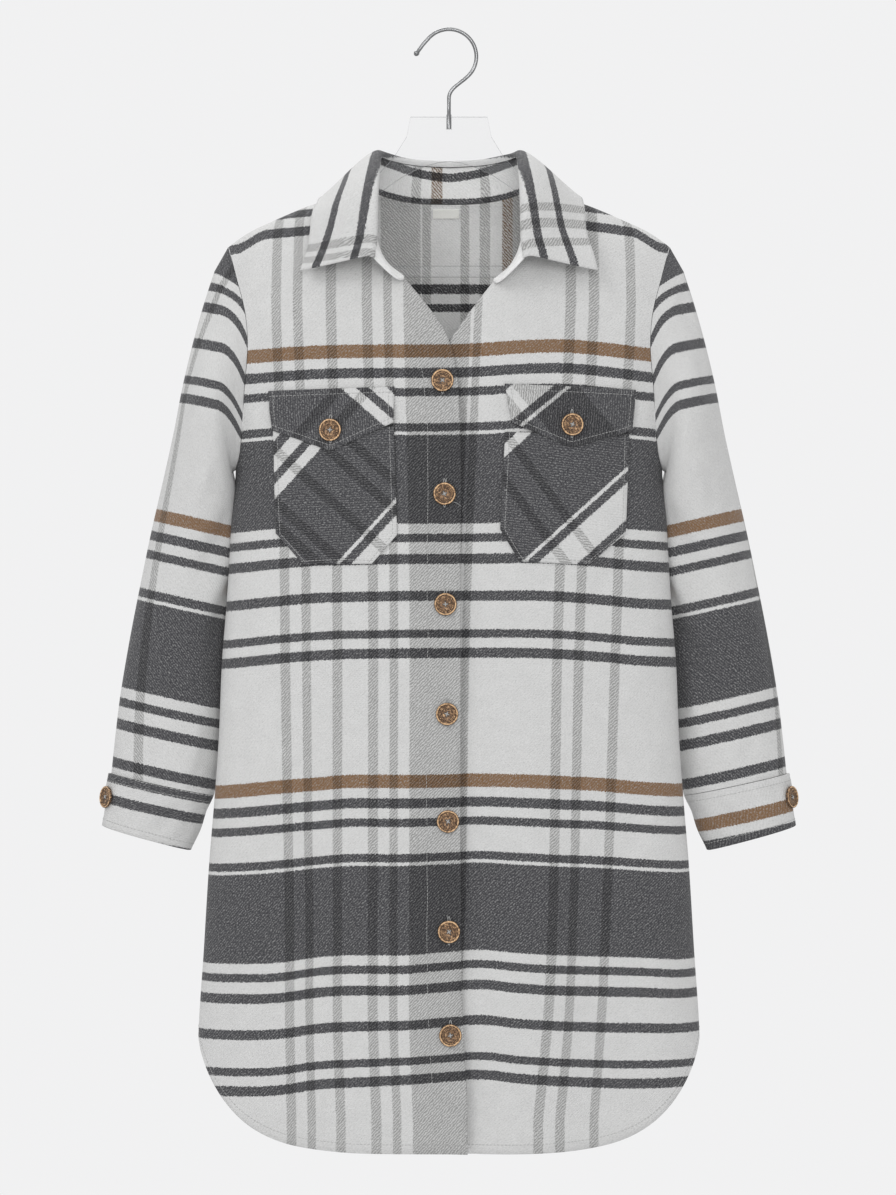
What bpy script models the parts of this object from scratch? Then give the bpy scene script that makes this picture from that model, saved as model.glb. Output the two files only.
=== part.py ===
"""Long flannel shirt jacket with a clear hanger inside it.

Sizes are in millimetres and MM turns them into metres. +Z is up, the fronts face -Y, and the wearer's
right side, which laps over the left at the buttons, is at -X. The origin is the inner top of the hook.
"""

import math

import bmesh
import bpy
import numpy as np

MM = 0.001

# Cloth and seams
WALL = 2.0
SEAM = 0.3
JOIN = 0.45
LEAF_WALL = 2.6
CUFF_WALL = 2.6

# Body
SECTION_POWER = 2.2
ROLL_POWER = 2.2
FRONT_ROLL = 130.0
BACK_ROLL = 80.0
UNDERARM = -457.0
SHOULDER_TIP = 229.0
NECK_HALF = 84.0
BACK_NECK_HEIGHT = -177.0
HEM_SIDE = -1042.0
HEM_DROP = 117.0
HEM_POWER = 5.0
HEM_BLEND = 1.4
BACK_NECK_POWER = 2.6

# Grids
SIDE_ROWS = 13
ARMHOLE_ROWS = 12
NECK_ROWS = 6
SHOULDER_COLUMNS = 8
NECK_COLUMNS = 8
FRONT_ROW_POWER = 0.9
STEP_ACROSS = 1e-3
STEP_DOWN = 0.05

# Height, half width, front depth, back depth
BODY_ROWS = (
    (-120, 232, 46, 46),
    (-225, 237, 54, 54),
    (-295, 241, 59, 60),
    (-330, 240, 60, 62),
    (-375, 235, 60, 62),
    (-425, 227, 60, 62),
    (-457, 221.8, 60, 61),
    (-490, 225, 60, 60),
    (-592, 231, 59, 59),
    (-654, 236, 58, 58),
    (-737, 239.5, 57, 58),
    (-800, 244, 57, 58),
    (-867, 249.5, 57, 58),
    (-956, 255, 58, 59),
    (-1042, 260.5, 59, 60),
    (-1170, 261.5, 60, 61),
)

# Distance from the centre, height of the shoulder line
SHOULDER_ROWS = (
    (0, -158),
    (60, -160),
    (84, -164),
    (108, -170),
    (133, -177.5),
    (150, -183.5),
    (186, -199),
    (204, -207.3),
    (217, -215.3),
    (229, -224.5),
    (245, -241),
)

# Height, distance from the centre in the front panel, in the back panel
ARMHOLE_TABLE = (
    (-224.5, 229, 229),
    (-257, 220, 223.5),
    (-296, 210, 217),
    (-330, 207.5, 214.5),
    (-373, 211, 215),
    (-425, 214.5, 216.5),
    (-445, 217.5, 218.5),
    (-457, 221.8, 221.8),
)

# Height, reach of each front past the centre line: the wearer's right front is on top
FRONT_EDGE_ROWS = {
    -1: (
        (-1165, -18.4),
        (-1124, -18.4),
        (-1012, -13.3),
        (-755, -11.3),
        (-581, -11.3),
        (-388, -9.7),
        (-358, -7.2),
        (-336, -3.1),
        (-311, 7.6),
        (-287, 24.9),
        (-261, 46.4),
    ),
    1: (
        (-1165, -15),
        (-755, -20),
        (-450, -20),
        (-385, -17),
        (-355, -11),
        (-327, 1),
        (-298, 20.5),
        (-264, 46.4),
    ),
}
FRONT_NECK_HEIGHT = {-1: -261.0, 1: -264.0}
UNDERLAP_START = 26.0
UNDERLAP_EASE = 40.0
UNDERLAP_GAP = 0.7

# Share of the way from the front end to the shoulder, distance from the centre, share of the rise
NECKLINE_ROWS = (
    (0.0, 46.4, 0.0),
    (0.25, 65.0, 0.16),
    (0.5, 77.0, 0.42),
    (0.75, 83.0, 0.73),
    (1.0, 84.0, 1.0),
)

# Face (-1 front, 1 back), top x and height, bottom x and height, half width, depth of each soft fold
FOLDS = (
    (-1, -128, -560, -136, -1120, 26, -4.5),
    (-1, -196, -640, -214, -1090, 24, 3.0),
    (-1, 64, -620, 72, -1140, 34, 2.5),
    (-1, 150, -600, 150, -1120, 28, -4.0),
    (-1, 206, -560, 226, -1060, 22, 2.5),
    (1, -140, -520, -152, -1130, 34, -5.0),
    (1, -58, -430, -66, -1140, 30, 3.5),
    (1, 28, -520, 20, -1140, 32, -4.0),
    (1, 118, -480, 130, -1130, 36, 4.0),
    (1, 196, -560, 212, -1080, 26, -3.5),
)

FOLD_GROWTH = 1.2
FOLD_SIDE_FADE = 1.6

# Outer height and reach, inner height and reach, centre of depth, half depth of each sleeve ring
SLEEVE_ROWS = (
    (-250, 244.0, -458.5, 224.8, 1, 42),
    (-285, 255.3, -461.5, 226.4, 3, 50),
    (-325, 266.7, -466.5, 227.4, 6, 54),
    (-370, 277.7, -476.0, 228.4, 10, 55),
    (-418, 287.5, -492.0, 228.6, 16, 54),
    (-468, 299.2, -520.0, 227.6, 24, 51),
    (-522, 312.2, -566.0, 225.6, 31, 48),
    (-580, 324.4, -613.0, 227.4, 34, 45),
    (-636, 335.3, -663.0, 231.4, 34, 41),
    (-690, 344.3, -712.0, 234.4, 33, 37),
    (-735, 349.7, -757.0, 238.4, 31, 33),
    (-772.9, 353.5, -795.9, 245.9, 28, 28),
)
SLEEVE_FADE = 4
SLEEVE_BULGE = np.array([1.0, 0.75, 1.0])
# The fold beside the front armhole: its depth, the ring's point it lies at, and its width in points
SLEEVE_FOLD_DEPTH = 7.0
SLEEVE_FOLD_POINT = 2.6
SLEEVE_FOLD_WIDTH = 1.1
SLEEVE_FOLD_GROWTH = 2
SLEEVE_FOLD_FADE = 5
SLEEVE_FOLD_WAY = np.array([0.25, 1.0, 0.0])

# Outer height and reach, inner height and reach, centre of depth, half depth of the cuff's two ends
CUFF_TOP = (-773.5, 353.6, -796.5, 246.2, 28, 28)
CUFF_BOTTOM = (-828.0, 360.3, -853.0, 270.0, 27, 24)
CUFF_LAP_START = math.radians(50)
CUFF_LAP_END = math.radians(-22)
CUFF_LAP_EASE = math.radians(60)
CUFF_COLUMNS = 24
CUFF_BUTTON_TURN = math.radians(20)
CUFF_BUTTON_SHARE = 0.44

# Share from the centre back to the front end, roll line x, y, height, leaf edge x, y, height
COLLAR_ROWS = (
    (0.0, 0, 32, -139, 0, 52, -190),
    (0.17, 37, 28, -137, 48, 51, -192),
    (0.32, 62, 16, -133, 98, 47, -190),
    (0.45, 73, -3, -131, 130, 12, -172.5),
    (0.6, 76, -54, -158, 137, -26, -185),
    (0.8, 77, -80, -213, 142, -48, -217),
    (1.0, 77, -80, -243, 151, -60, -254),
)
COLLAR_COLUMNS = 16
STAND_ROWS = 3
# Way the stand stands clear of the back and of the fronts, and the shares it grows between
STAND_CLEAR_BACK = (0.0, 0.6, 0.3)
STAND_CLEAR_FRONT = (0.0, -1.0, 0.3)
STAND_CLEAR_START = 0.5
STAND_CLEAR_END = 0.7
TAB_LENGTH = 13.0
TAB_START = 0.86
LEAF_ROWS = 8
LEAF_ROW_POWER = 1.25
LEAF_JOIN = 0.7
LEAF_RISE = 10.0
LEAF_OUT = 17.0
LEAF_FALL = 0.3

# Pockets: level, left x and height, right x and height, from the mouth down
POCKET_LIFT = 0.45
PATCH_COLUMNS = 8
POCKET_LEVELS = (0.0, 0.34, 0.67, 1.0, 1.5, 2.0)
POCKETS = {
    "right": (
        (0, -180.4, -418.0, -57.0, -414.0),
        (1, -177.5, -523.0, -53.5, -524.5),
        (2, -149.0, -554.5, -79.0, -554.0),
    ),
    "left": (
        (0, 58.0, -420.0, 185.0, -421.5),
        (1, 53.0, -519.0, 181.0, -522.5),
        (2, 72.5, -551.5, 143.0, -555.0),
    ),
}
# Flaps: top left x and height, top right, bottom left, bottom right, and the point
FLAP_ROWS = 4
FLAPS = {
    "right": (-185.0, -377.0, -56.4, -373.5, -180.4, -416.0, -57.4, -409.5, -121.0, -438.0),
    "left": (57.6, -370.5, 191.5, -375.5, 65.0, -409.5, 188.0, -416.5, 125.0, -434.5),
}
FLAP_RISE_START = -382.0
FLAP_RISE_END = -400.0

# Buttons
BUTTON_RADIUS = 11.6
BUTTON_SIDES = 14
# Radius share, height above the cloth
BUTTON_PROFILE = (
    (0.80, 0.0),
    (1.00, 1.4),
    (0.97, 3.2),
    (0.80, 3.6),
    (0.64, 2.5),
)
BUTTON_LIFT = 0.45
FRONT_BUTTONS = (
    (-6.7, -366.5),
    (-4.6, -482.7),
    (-3.6, -595.8),
    (-2.0, -708.4),
    (-1.0, -818.5),
    (0.0, -931.6),
    (1.5, -1037.6),
)
FLAP_BUTTONS = {"right": (-120.8, -417.1), "left": (125.4, -411.5)}

# Neck label: left, right, top, bottom
LABEL = (-16.8, 10.5, -180.5, -189.5)
LABEL_WALL = 1.0
LABEL_COLUMNS = 4
LABEL_ROWS = 3

# Hanger
HANGER_THICK = 7.0
ARM_REACH = 205.0
ARM_HEIGHT = 20.0
BAR_TOP = -244.4
BAR_BOTTOM = -255.8
PLATE_TOP = -89.4
# Height, half width of the plate's flank
PLATE_ROWS = (
    (-89.4, 40.0),
    (-110.0, 44.0),
    (-131.0, 57.0),
    (-147.5, 72.0),
    (-158.0, 76.0),
    (-168.5, 78.0),
)
ARCH_HEIGHT = -135.6
ARCH_HALF = 73.0
ARCH_FALL = 34.0
ARCH_POWER = 1.8
ARCH_POINTS = 7
ARM_SEAT = 0.45
ARM_DROP = 1.3
ARM_POINTS = 9
ARM_START = NECK_HALF + 2.0
NOSE_RADIUS = 9.0
NOSE_POINTS = 5
UNDER_START = ARCH_HALF + 14.0
UNDER_END = ARM_REACH - 18.0
UNDER_POINTS = 5
# Inner corners where an arm turns back into the bar: distance from the centre, height
RETURN_CORNERS = ((ARM_REACH - 12.0, BAR_TOP + 3.0), (ARM_REACH - 20.0, BAR_TOP), (0.0, BAR_TOP))

# Hook: a wire with a thick foot in a notch of the plate
NOTCH_HALF = 2.95
NOTCH_BOTTOM = -102.1
FERRULE_RADIUS = 2.6
FERRULE_TOP = -87.0
FERRULE_BOTTOM = -101.7
FERRULE_STEP = 0.6
HOOK_WIRE = 2.0
HOOK_SIDES = 8
HOOK_RADIUS = 28.5
HOOK_CENTRE = -26.5
HOOK_START_TURN = math.radians(-24)
HOOK_END_TURN = math.radians(137)
HOOK_POINTS = 15
HOOK_STEM_TOP = -70.0
BEND_LOW = 14.0
BEND_HIGH = 16.0
BEND_POINTS = 7
# Near the tip: x and height of the wire, then distance past its end and radius of the ball's rings
HOOK_TIP = ((-27.1, -14.1), (-32.2, -21.0))
HOOK_BALL = ((1.0, 2.7), (2.8, 2.9), (4.8, 1.9), (5.6, 0.8))


def smooth(share):
    """0 to 1 with soft ends."""
    share = np.clip(share, 0.0, 1.0)
    return share * share * (3.0 - 2.0 * share)


def unit(vectors):
    length = np.linalg.norm(vectors, axis=-1, keepdims=True)
    return vectors / np.maximum(length, 1e-12)


class Track:
    """A smooth line through a table's rows: its first column is the place and the others are the values."""

    def __init__(self, rows):
        table = np.array(rows, float)
        table = table[np.argsort(table[:, 0])]
        self.place = table[:, 0]
        self.value = table[:, 1:]
        slope = np.diff(self.value, axis=0) / np.diff(self.place)[:, None]
        tangent = np.vstack([slope[:1], (slope[1:] + slope[:-1]) / 2, slope[-1:]])
        tangent[1:-1][slope[1:] * slope[:-1] <= 0] = 0
        self.tangent = tangent

    def __call__(self, at):
        at = np.clip(np.asarray(at, float), self.place[0], self.place[-1])
        row = np.clip(np.searchsorted(self.place, at, side="right") - 1, 0, len(self.place) - 2)
        span = self.place[row + 1] - self.place[row]
        t = ((at - self.place[row]) / span)[..., None]
        span = span[..., None]
        start = (1 + 2 * t) * (1 - t) ** 2 * self.value[row] + t * (1 - t) ** 2 * span * self.tangent[row]
        end = t * t * (3 - 2 * t) * self.value[row + 1] + t * t * (t - 1) * span * self.tangent[row + 1]
        return start + end


BODY = Track(BODY_ROWS)
SHOULDER = Track(SHOULDER_ROWS)
ARMHOLE = Track(ARMHOLE_TABLE)
NECKLINE = Track(NECKLINE_ROWS)
COLLAR = Track(COLLAR_ROWS)
PLATE = Track(PLATE_ROWS)
FRONT_EDGE = {side: Track(rows) for side, rows in FRONT_EDGE_ROWS.items()}


def fold_height(x, height, face):
    """How far the soft folds lift the cloth at a place of the front or the back."""
    lift = np.zeros(np.broadcast(x, height).shape)
    for fold_face, top_x, top, bottom_x, bottom, half_width, depth in FOLDS:
        if fold_face != face:
            continue
        share = (top - height) / (top - bottom)
        centre = top_x + (bottom_x - top_x) * share
        lift = lift + depth * smooth(share * FOLD_GROWTH) * np.exp(-(((x - centre) / half_width) ** 2))
    return lift


def across_of(x, height):
    """Share of the way from the centre line, 0, to the side, 1 or -1, at a distance from the centre."""
    half = BODY(height)[..., 0]
    return np.arcsin(np.clip(x / half, -1.0, 1.0)) * 2 / math.pi


def form(across, height, face):
    """Point of the garment's outer face: face is -1 for the fronts and 1 for the back."""
    across, height = np.broadcast_arrays(np.asarray(across, float), np.asarray(height, float))
    size = BODY(height)
    sine = np.sin(np.clip(across, -1.0, 1.0) * math.pi / 2)
    x = size[..., 0] * sine
    depth = size[..., 1] if face < 0 else size[..., 2]
    roll = FRONT_ROLL if face < 0 else BACK_ROLL
    lean = np.clip((SHOULDER(np.abs(x))[..., 0] - height) / roll, 0.0, 1.0)
    over = (1 - (1 - lean) ** ROLL_POWER) ** (1 / ROLL_POWER)
    edge = np.clip(1 - np.abs(sine) ** SECTION_POWER, 0.0, 1.0) ** (1 / SECTION_POWER)
    fold = fold_height(x, height, face) * smooth(edge * FOLD_SIDE_FADE)
    y = face * (SEAM / 2 + depth * edge * over + fold)
    return np.stack([x, y, height], axis=-1)


def form_normal(across, height, face):
    """Direction out of the cloth, from a small step across and one down."""
    across = np.asarray(across, float)
    height = np.asarray(height, float)
    here = form(across, height, face)
    back = np.where(across >= 0, -STEP_ACROSS, STEP_ACROSS)
    along = (form(across + back, height, face) - here) * np.sign(back)[..., None]
    up = here - form(across, height - STEP_DOWN, face)
    return unit(np.cross(along, up)) * -face


def hem_height(across):
    """The shirt-tail hem: level over the middle and rounded up to each side seam."""
    reach = np.abs(np.sin(np.clip(across, -1, 1) * math.pi / 2))
    return HEM_SIDE - HEM_DROP * (1 - reach**HEM_POWER) ** (1 / HEM_BLEND)


def side_line(rows_below, rows_above, face):
    """Across and height up the side seam and then up the armhole to the shoulder tip."""
    seam = np.linspace(HEM_SIDE, UNDERARM, rows_below + 1)
    turn = np.linspace(math.pi, 0, rows_above + 1)[1:]
    tip = SHOULDER(SHOULDER_TIP)[0]
    arm = tip + (UNDERARM - tip) * (1 - np.cos(turn)) / 2
    reach = ARMHOLE(arm)[..., 0 if face < 0 else 1]
    across = np.concatenate([np.ones(len(seam)), across_of(reach, arm)])
    return np.stack([across, np.concatenate([seam, arm])], axis=-1)


def front_line(side):
    """Across and height up a front's edge and then round the neckline to the shoulder."""
    track = FRONT_EDGE[side]
    rows = SIDE_ROWS + ARMHOLE_ROWS - NECK_ROWS
    end = FRONT_NECK_HEIGHT[side]
    start = hem_height(0)
    height = start + (end - start) * np.linspace(0, 1, rows + 1) ** FRONT_ROW_POWER
    edge = np.stack([across_of(track(height)[..., 0], height), height], axis=-1)
    return np.concatenate([edge, neck_front(side, NECK_ROWS)[1:]])


def neck_front(side, rows):
    """Across and height of the front neckline, from its front end to the shoulder, closer near its top."""
    shape = NECKLINE(1 - np.linspace(1, 0, rows + 1) ** 2)
    start = FRONT_NECK_HEIGHT[side]
    height = start + (SHOULDER(NECK_HALF)[0] - start) * shape[..., 1]
    return np.stack([across_of(shape[..., 0], height), height], axis=-1)


def shoulder_line(columns):
    """Across and height from the neck to the shoulder tip."""
    x = np.linspace(NECK_HALF, SHOULDER_TIP, columns + 1)
    height = SHOULDER(x)[..., 0]
    return np.stack([across_of(x, height), height], axis=-1)


def neck_back(columns):
    """Across and height of the back neckline, from one shoulder to the other."""
    turn = np.linspace(-1, 1, columns + 1)
    x = NECK_HALF * np.sin(turn * math.pi / 2)
    rise = SHOULDER(NECK_HALF)[0] - BACK_NECK_HEIGHT
    height = BACK_NECK_HEIGHT + rise * np.abs(x / NECK_HALF) ** BACK_NECK_POWER
    return np.stack([across_of(x, height), height], axis=-1)


def patch(bottom, top, left, right):
    """Grid of a four-sided piece, blended from its four borders."""
    u = np.linspace(0, 1, len(bottom))[None, :, None]
    v = np.linspace(0, 1, len(left))[:, None, None]
    grid = (1 - v) * bottom[None] + v * top[None] + (1 - u) * left[:, None] + u * right[:, None]
    corners = (1 - u) * ((1 - v) * bottom[0] + v * top[0]) + u * ((1 - v) * bottom[-1] + v * top[-1])
    return grid - corners


def grid_normals(points, closed):
    """Directions across a grid of points, by the right-hand rule on its rows and columns."""
    if closed:
        along = np.roll(points, -1, axis=1) - np.roll(points, 1, axis=1)
    else:
        along = np.gradient(points, axis=1)
    return unit(np.cross(along, np.gradient(points, axis=0)))


def material(name, colour, roughness, metallic=0.0, alpha=1.0):
    made = bpy.data.materials.new(name)
    made.use_nodes = True
    shader = made.node_tree.nodes["Principled BSDF"]
    shader.inputs["Base Color"].default_value = (*colour, 1.0)
    shader.inputs["Roughness"].default_value = roughness
    shader.inputs["Metallic"].default_value = metallic
    shader.inputs["Alpha"].default_value = alpha
    made.diffuse_color = (*colour, 1.0)
    return made


def add_object(name, points, faces, finish):
    """One closed piece from its points in millimetres and its faces, turned to face out."""
    mesh = bpy.data.meshes.new(name)
    mesh.from_pydata([tuple(p) for p in np.asarray(points) * MM], [], faces)
    sorter = bmesh.new()
    sorter.from_mesh(mesh)
    if sorter.calc_volume(signed=True) < 0:
        bmesh.ops.reverse_faces(sorter, faces=sorter.faces)
    sorter.to_mesh(mesh)
    sorter.free()
    mesh.shade_smooth()
    mesh.set_sharp_from_angle(angle=math.radians(50))
    mesh.materials.append(finish)
    made = bpy.data.objects.new(name, mesh)
    bpy.context.scene.collection.objects.link(made)
    made.parent = bpy.data.objects.get("garment")
    return made


def wall(name, outer, inner, finish, closed=False):
    """A cloth wall between two grids of points, with its rims."""
    rows, columns = outer.shape[:2]
    points = np.concatenate([outer.reshape(-1, 3), inner.reshape(-1, 3)])
    far = rows * columns
    spans = columns if closed else columns - 1
    faces = []
    for i in range(rows - 1):
        for j in range(spans):
            a = i * columns + j
            b = i * columns + (j + 1) % columns
            c = b + columns
            d = a + columns
            faces += [(a, b, c), (a, c, d)]
            faces += [(a + far, c + far, b + far), (a + far, d + far, c + far)]
    for j in range(spans):
        a = j
        b = (j + 1) % columns
        faces.append((a, a + far, b + far, b))
        a += (rows - 1) * columns
        b += (rows - 1) * columns
        faces.append((a, b, b + far, a + far))
    if not closed:
        for i in range(rows - 1):
            a = i * columns
            d = a + columns
            faces.append((a, d, d + far, a + far))
            a += columns - 1
            d += columns - 1
            faces.append((a, a + far, d + far, d))
    return add_object(name, points, faces, finish)


def panel_faces(grid, face, lift=0.0, thick=WALL):
    """Outer and inner points of a stretch of body cloth, kept on its own side of the seams."""
    across = grid[..., 0]
    height = grid[..., 1]
    here = form(across, height, face)
    out = form_normal(across, height, face)
    outer = here + out * np.asarray(lift)[..., None]
    inner = outer - out * thick
    for points in (outer, inner):
        points[..., 1] = face * np.maximum(face * points[..., 1], SEAM / 2)
    return outer, inner


def mirror(points):
    return points * np.array([-1.0, 1.0, 1.0])


def front_grid(side):
    left = front_line(side)
    right = side_line(SIDE_ROWS, ARMHOLE_ROWS, -1)
    across = np.linspace(left[0, 0], 1, SHOULDER_COLUMNS + 1)
    bottom = np.stack([across, hem_height(across)], axis=-1)
    return patch(bottom, shoulder_line(SHOULDER_COLUMNS), left, right)


def front_points(side):
    """Outer and inner points of one front; the left one dips under the right at the lap."""
    grid = front_grid(side)
    grid = grid * np.array([side, 1.0])
    lift = np.zeros(grid.shape[:2])
    if side > 0:
        x = form(grid[..., 0], grid[..., 1], -1)[..., 0]
        lift = -(WALL + UNDERLAP_GAP) * (1 - smooth((x - UNDERLAP_START) / UNDERLAP_EASE))
    return panel_faces(grid, -1, lift)


def back_points():
    right = side_line(SIDE_ROWS, ARMHOLE_ROWS, 1)
    left = right * np.array([-1.0, 1.0])
    shoulder = shoulder_line(SHOULDER_COLUMNS)
    other = shoulder[::-1] * np.array([-1.0, 1.0])
    top = np.concatenate([other[:-1], neck_back(NECK_COLUMNS), shoulder[1:]])
    across = np.linspace(-1, 1, len(top))
    bottom = np.stack([across, hem_height(across)], axis=-1)
    return panel_faces(patch(bottom, top, left, right), 1)


def armhole_ring(front, back, side):
    """The armhole's edge as a ring: from the tip down the front, then up the back."""
    column = -1 if side > 0 else 0
    front_edge = front[SIDE_ROWS:, -1][::-1]
    back_edge = back[SIDE_ROWS:, column]
    ring = np.concatenate([front_edge[:-1], back_edge[:-1]])
    ring[0, 1] = 0.0
    ring[ARMHOLE_ROWS, 1] = 0.0
    return ring


def sleeve_points(front, back, side):
    """Outer and inner points of a sleeve: rings from the armhole down to the cuff."""
    base = armhole_ring(front, back, side)
    if side < 0:
        base = mirror(base)
    base = base + np.array([JOIN, 0, 0])
    turn = np.arange(len(base)) * math.pi / ARMHOLE_ROWS
    top = base[0]
    low = base[ARMHOLE_ROWS]
    chord = (top + low) / 2 + np.cos(turn)[:, None] * (top - low) / 2
    bulge = base - chord
    rings = [base]
    place = np.exp(-(((np.arange(len(base)) - SLEEVE_FOLD_POINT) / SLEEVE_FOLD_WIDTH) ** 2))
    for number, row in enumerate(SLEEVE_ROWS):
        ring = section_ring(row, turn)
        spine = ring * np.array([1.0, 0.0, 1.0])
        fade = 1 - smooth((number + 1) / SLEEVE_FADE)
        ring = ring + fade * (spine + bulge - ring) * SLEEVE_BULGE
        grown = smooth((number + 1) / SLEEVE_FOLD_GROWTH) * (1 - smooth((number - 1) / SLEEVE_FOLD_FADE))
        ring = ring + (SLEEVE_FOLD_DEPTH * grown * place)[:, None] * SLEEVE_FOLD_WAY
        rings.append(ring)
    outer = np.stack(rings)
    out = grid_normals(outer, closed=True)
    round_edge = np.roll(base, -1, axis=0) - np.roll(base, 1, axis=0)
    out[0] = unit(np.cross(round_edge, (1.0, 0.0, 0.0)))
    inner = outer - out * WALL
    if side < 0:
        return mirror(outer), mirror(inner)
    return outer, inner


def section_ring(row, turn, out=0.0):
    """An oval ring between an outer and an inner point, wider by out all round."""
    outer_height, outer_x, inner_height, inner_x, centre_y, half_depth = row
    outer = np.array([outer_x, 0.0, outer_height])
    inner = np.array([inner_x, 0.0, inner_height])
    out = np.broadcast_to(out, turn.shape)[:, None]
    half = (outer - inner) / 2
    half = half * (1 + out / np.linalg.norm(half))
    centre = (outer + inner) / 2 + np.array([0.0, centre_y, 0.0])
    depth = np.array([0.0, -1.0, 0.0]) * (half_depth + out)
    return centre + np.cos(turn)[:, None] * half + np.sin(turn)[:, None] * depth


def cuff_points(side):
    """A band round the wrist whose outer end laps over its inner end at the button."""
    turn = np.linspace(CUFF_LAP_START, CUFF_LAP_END - 2 * math.pi, CUFF_COLUMNS + 1)
    gone = CUFF_LAP_START - turn
    ease = smooth((gone - (2 * math.pi - CUFF_LAP_EASE)) / CUFF_LAP_EASE)
    lap = (CUFF_WALL + JOIN) * ease
    rings = []
    for share in (0.0, 0.5, 1.0):
        row = np.array(CUFF_TOP) + share * (np.array(CUFF_BOTTOM) - np.array(CUFF_TOP))
        rings.append(section_ring(row, turn, lap))
    outer = np.stack(rings)
    out = -grid_normals(outer, closed=False)
    inner = outer - out * CUFF_WALL
    if side < 0:
        return mirror(outer), mirror(inner)
    return outer, inner


def neck_ring(front, back):
    """Outer points and directions round the neck, centre back to the left front's end."""
    middle = SHOULDER_COLUMNS + NECK_COLUMNS // 2
    end = SHOULDER_COLUMNS + NECK_COLUMNS + 1
    back_part = back[-1, middle:end]
    front_part = front[-NECK_ROWS - 1 :, 0][::-1]
    join = (back_part[-1] + front_part[0]) / 2
    points = np.concatenate([back_part[:-1], join[None], front_part[1:]])
    reach = np.concatenate([[0], np.cumsum(np.linalg.norm(np.diff(points, axis=0), axis=1))])
    return Track(np.column_stack([reach / reach[-1], points]))


def collar_points(front, back):
    """Outer and inner points of half the stand and half the leaf, centre back to front end."""
    share = np.linspace(0, 1, COLLAR_COLUMNS + 1)
    seam = neck_ring(front, back)(share)
    shape = COLLAR(share)
    roll = shape[:, :3]
    edge = shape[:, 3:]
    rise = unit(roll - seam)
    clear = unit(np.where(seam[:, 1:2] > 0, STAND_CLEAR_BACK, STAND_CLEAR_FRONT))
    grown = smooth((share - STAND_CLEAR_START) / (STAND_CLEAR_END - STAND_CLEAR_START))
    base = seam + rise * JOIN + clear * JOIN * grown[:, None]
    level = np.linspace(0, 1, STAND_ROWS + 1)
    stand = base[None] + level[:, None, None] * (roll - base)[None]
    forward = unit(np.gradient(roll + seam, axis=0))
    tab = TAB_LENGTH * smooth((share - TAB_START) / (1 - TAB_START))
    bow = 4 * level * (1 - level)
    stand = stand + bow[:, None, None] * tab[None, :, None] * forward[None]
    return stand, roll, edge, rise


def whole(half_right, half_left, flip):
    """Two halves joined at the centre back, from the wearer's right front end to the left one."""
    return np.concatenate([flip(half_right)[:, ::-1], half_left[:, 1:]], axis=1)


def collar(front, back, finish):
    halves = {-1: collar_points(mirror(front[-1]), back), 1: collar_points(front[1], back)}
    stand = whole(halves[-1][0], halves[1][0], mirror)
    out = grid_normals(stand, closed=False)
    middle = stand.shape[1] // 2
    if out[1, middle, 1] < 0:
        out = -out
    stand_inner = stand - out * WALL
    wall("collar_stand", stand, stand_inner, finish)

    def row(number):
        return whole(halves[-1][number][None], halves[1][number][None], mirror)[0]

    edge = row(2)
    rise = row(3)
    start = stand_inner[-1] + rise * LEAF_JOIN
    away = unit(edge - start)
    folded = (1 - np.sum(away * rise, axis=1, keepdims=True)) / 2
    width = np.linalg.norm(edge - start, axis=1, keepdims=True)
    over = start + rise * LEAF_RISE
    beside = start + rise * LEAF_RISE / 2 + out[-1] * LEAF_OUT * folded
    hold = edge - away * width * LEAF_FALL
    corners = (start, over, beside, hold, edge)
    t = (np.linspace(0, 1, LEAF_ROWS + 1) ** LEAF_ROW_POWER)[:, None, None]
    leaf = sum(math.comb(4, k) * t**k * (1 - t) ** (4 - k) * corner for k, corner in enumerate(corners))
    out = grid_normals(leaf, closed=False)
    if out[3, middle, 1] < 0:
        out = -out
    wall("collar_leaf", leaf, leaf - out * LEAF_WALL, finish)


def on_front(x, height, lift):
    """Points and directions on the fronts, moved out by lift."""
    across = across_of(x, height)
    out = form_normal(across, height, -1)
    return form(across, height, -1) + out * np.asarray(lift)[..., None], out


def pocket(side, finish):
    """A patch pocket with its lower corners cut off, made from the front's points."""
    table = np.array(POCKETS[side])
    levels = [np.interp(POCKET_LEVELS, table[:, 0], table[:, k])[:, None] for k in range(1, 5)]
    left_x, left_z, right_x, right_z = levels
    share = np.linspace(0, 1, PATCH_COLUMNS + 1)
    x = left_x + share * (right_x - left_x)
    height = left_z + share * (right_z - left_z)
    points, out = on_front(x, height, POCKET_LIFT + WALL)
    wall(f"pocket_{side}", points, points - out * WALL, finish)


def flap_lift(height):
    """A flap is sewn to the front above its pocket and passes over the pocket's mouth."""
    over = smooth((FLAP_RISE_START - height) / (FLAP_RISE_START - FLAP_RISE_END))
    return POCKET_LIFT + (WALL + JOIN) * over


def flap(side, finish):
    left_x, left_z, right_x, right_z, low_x, low_z, far_x, far_z, tip_x, tip_z = FLAPS[side]
    share = np.linspace(0, 1, PATCH_COLUMNS + 1)
    bend = (tip_x - low_x) / (far_x - low_x)
    lower_x = low_x + share * (far_x - low_x)
    lower_z = np.interp(share, (0, bend, 1), (low_z, tip_z, far_z))
    upper_x = left_x + share * (right_x - left_x)
    upper_z = left_z + share * (right_z - left_z)
    level = np.linspace(0, 1, FLAP_ROWS + 1)[:, None]
    x = upper_x + level * (lower_x - upper_x)
    height = upper_z + level * (lower_z - upper_z)
    points, out = on_front(x, height, flap_lift(height) + WALL)
    wall(f"flap_{side}", points, points - out * WALL, finish)


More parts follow.
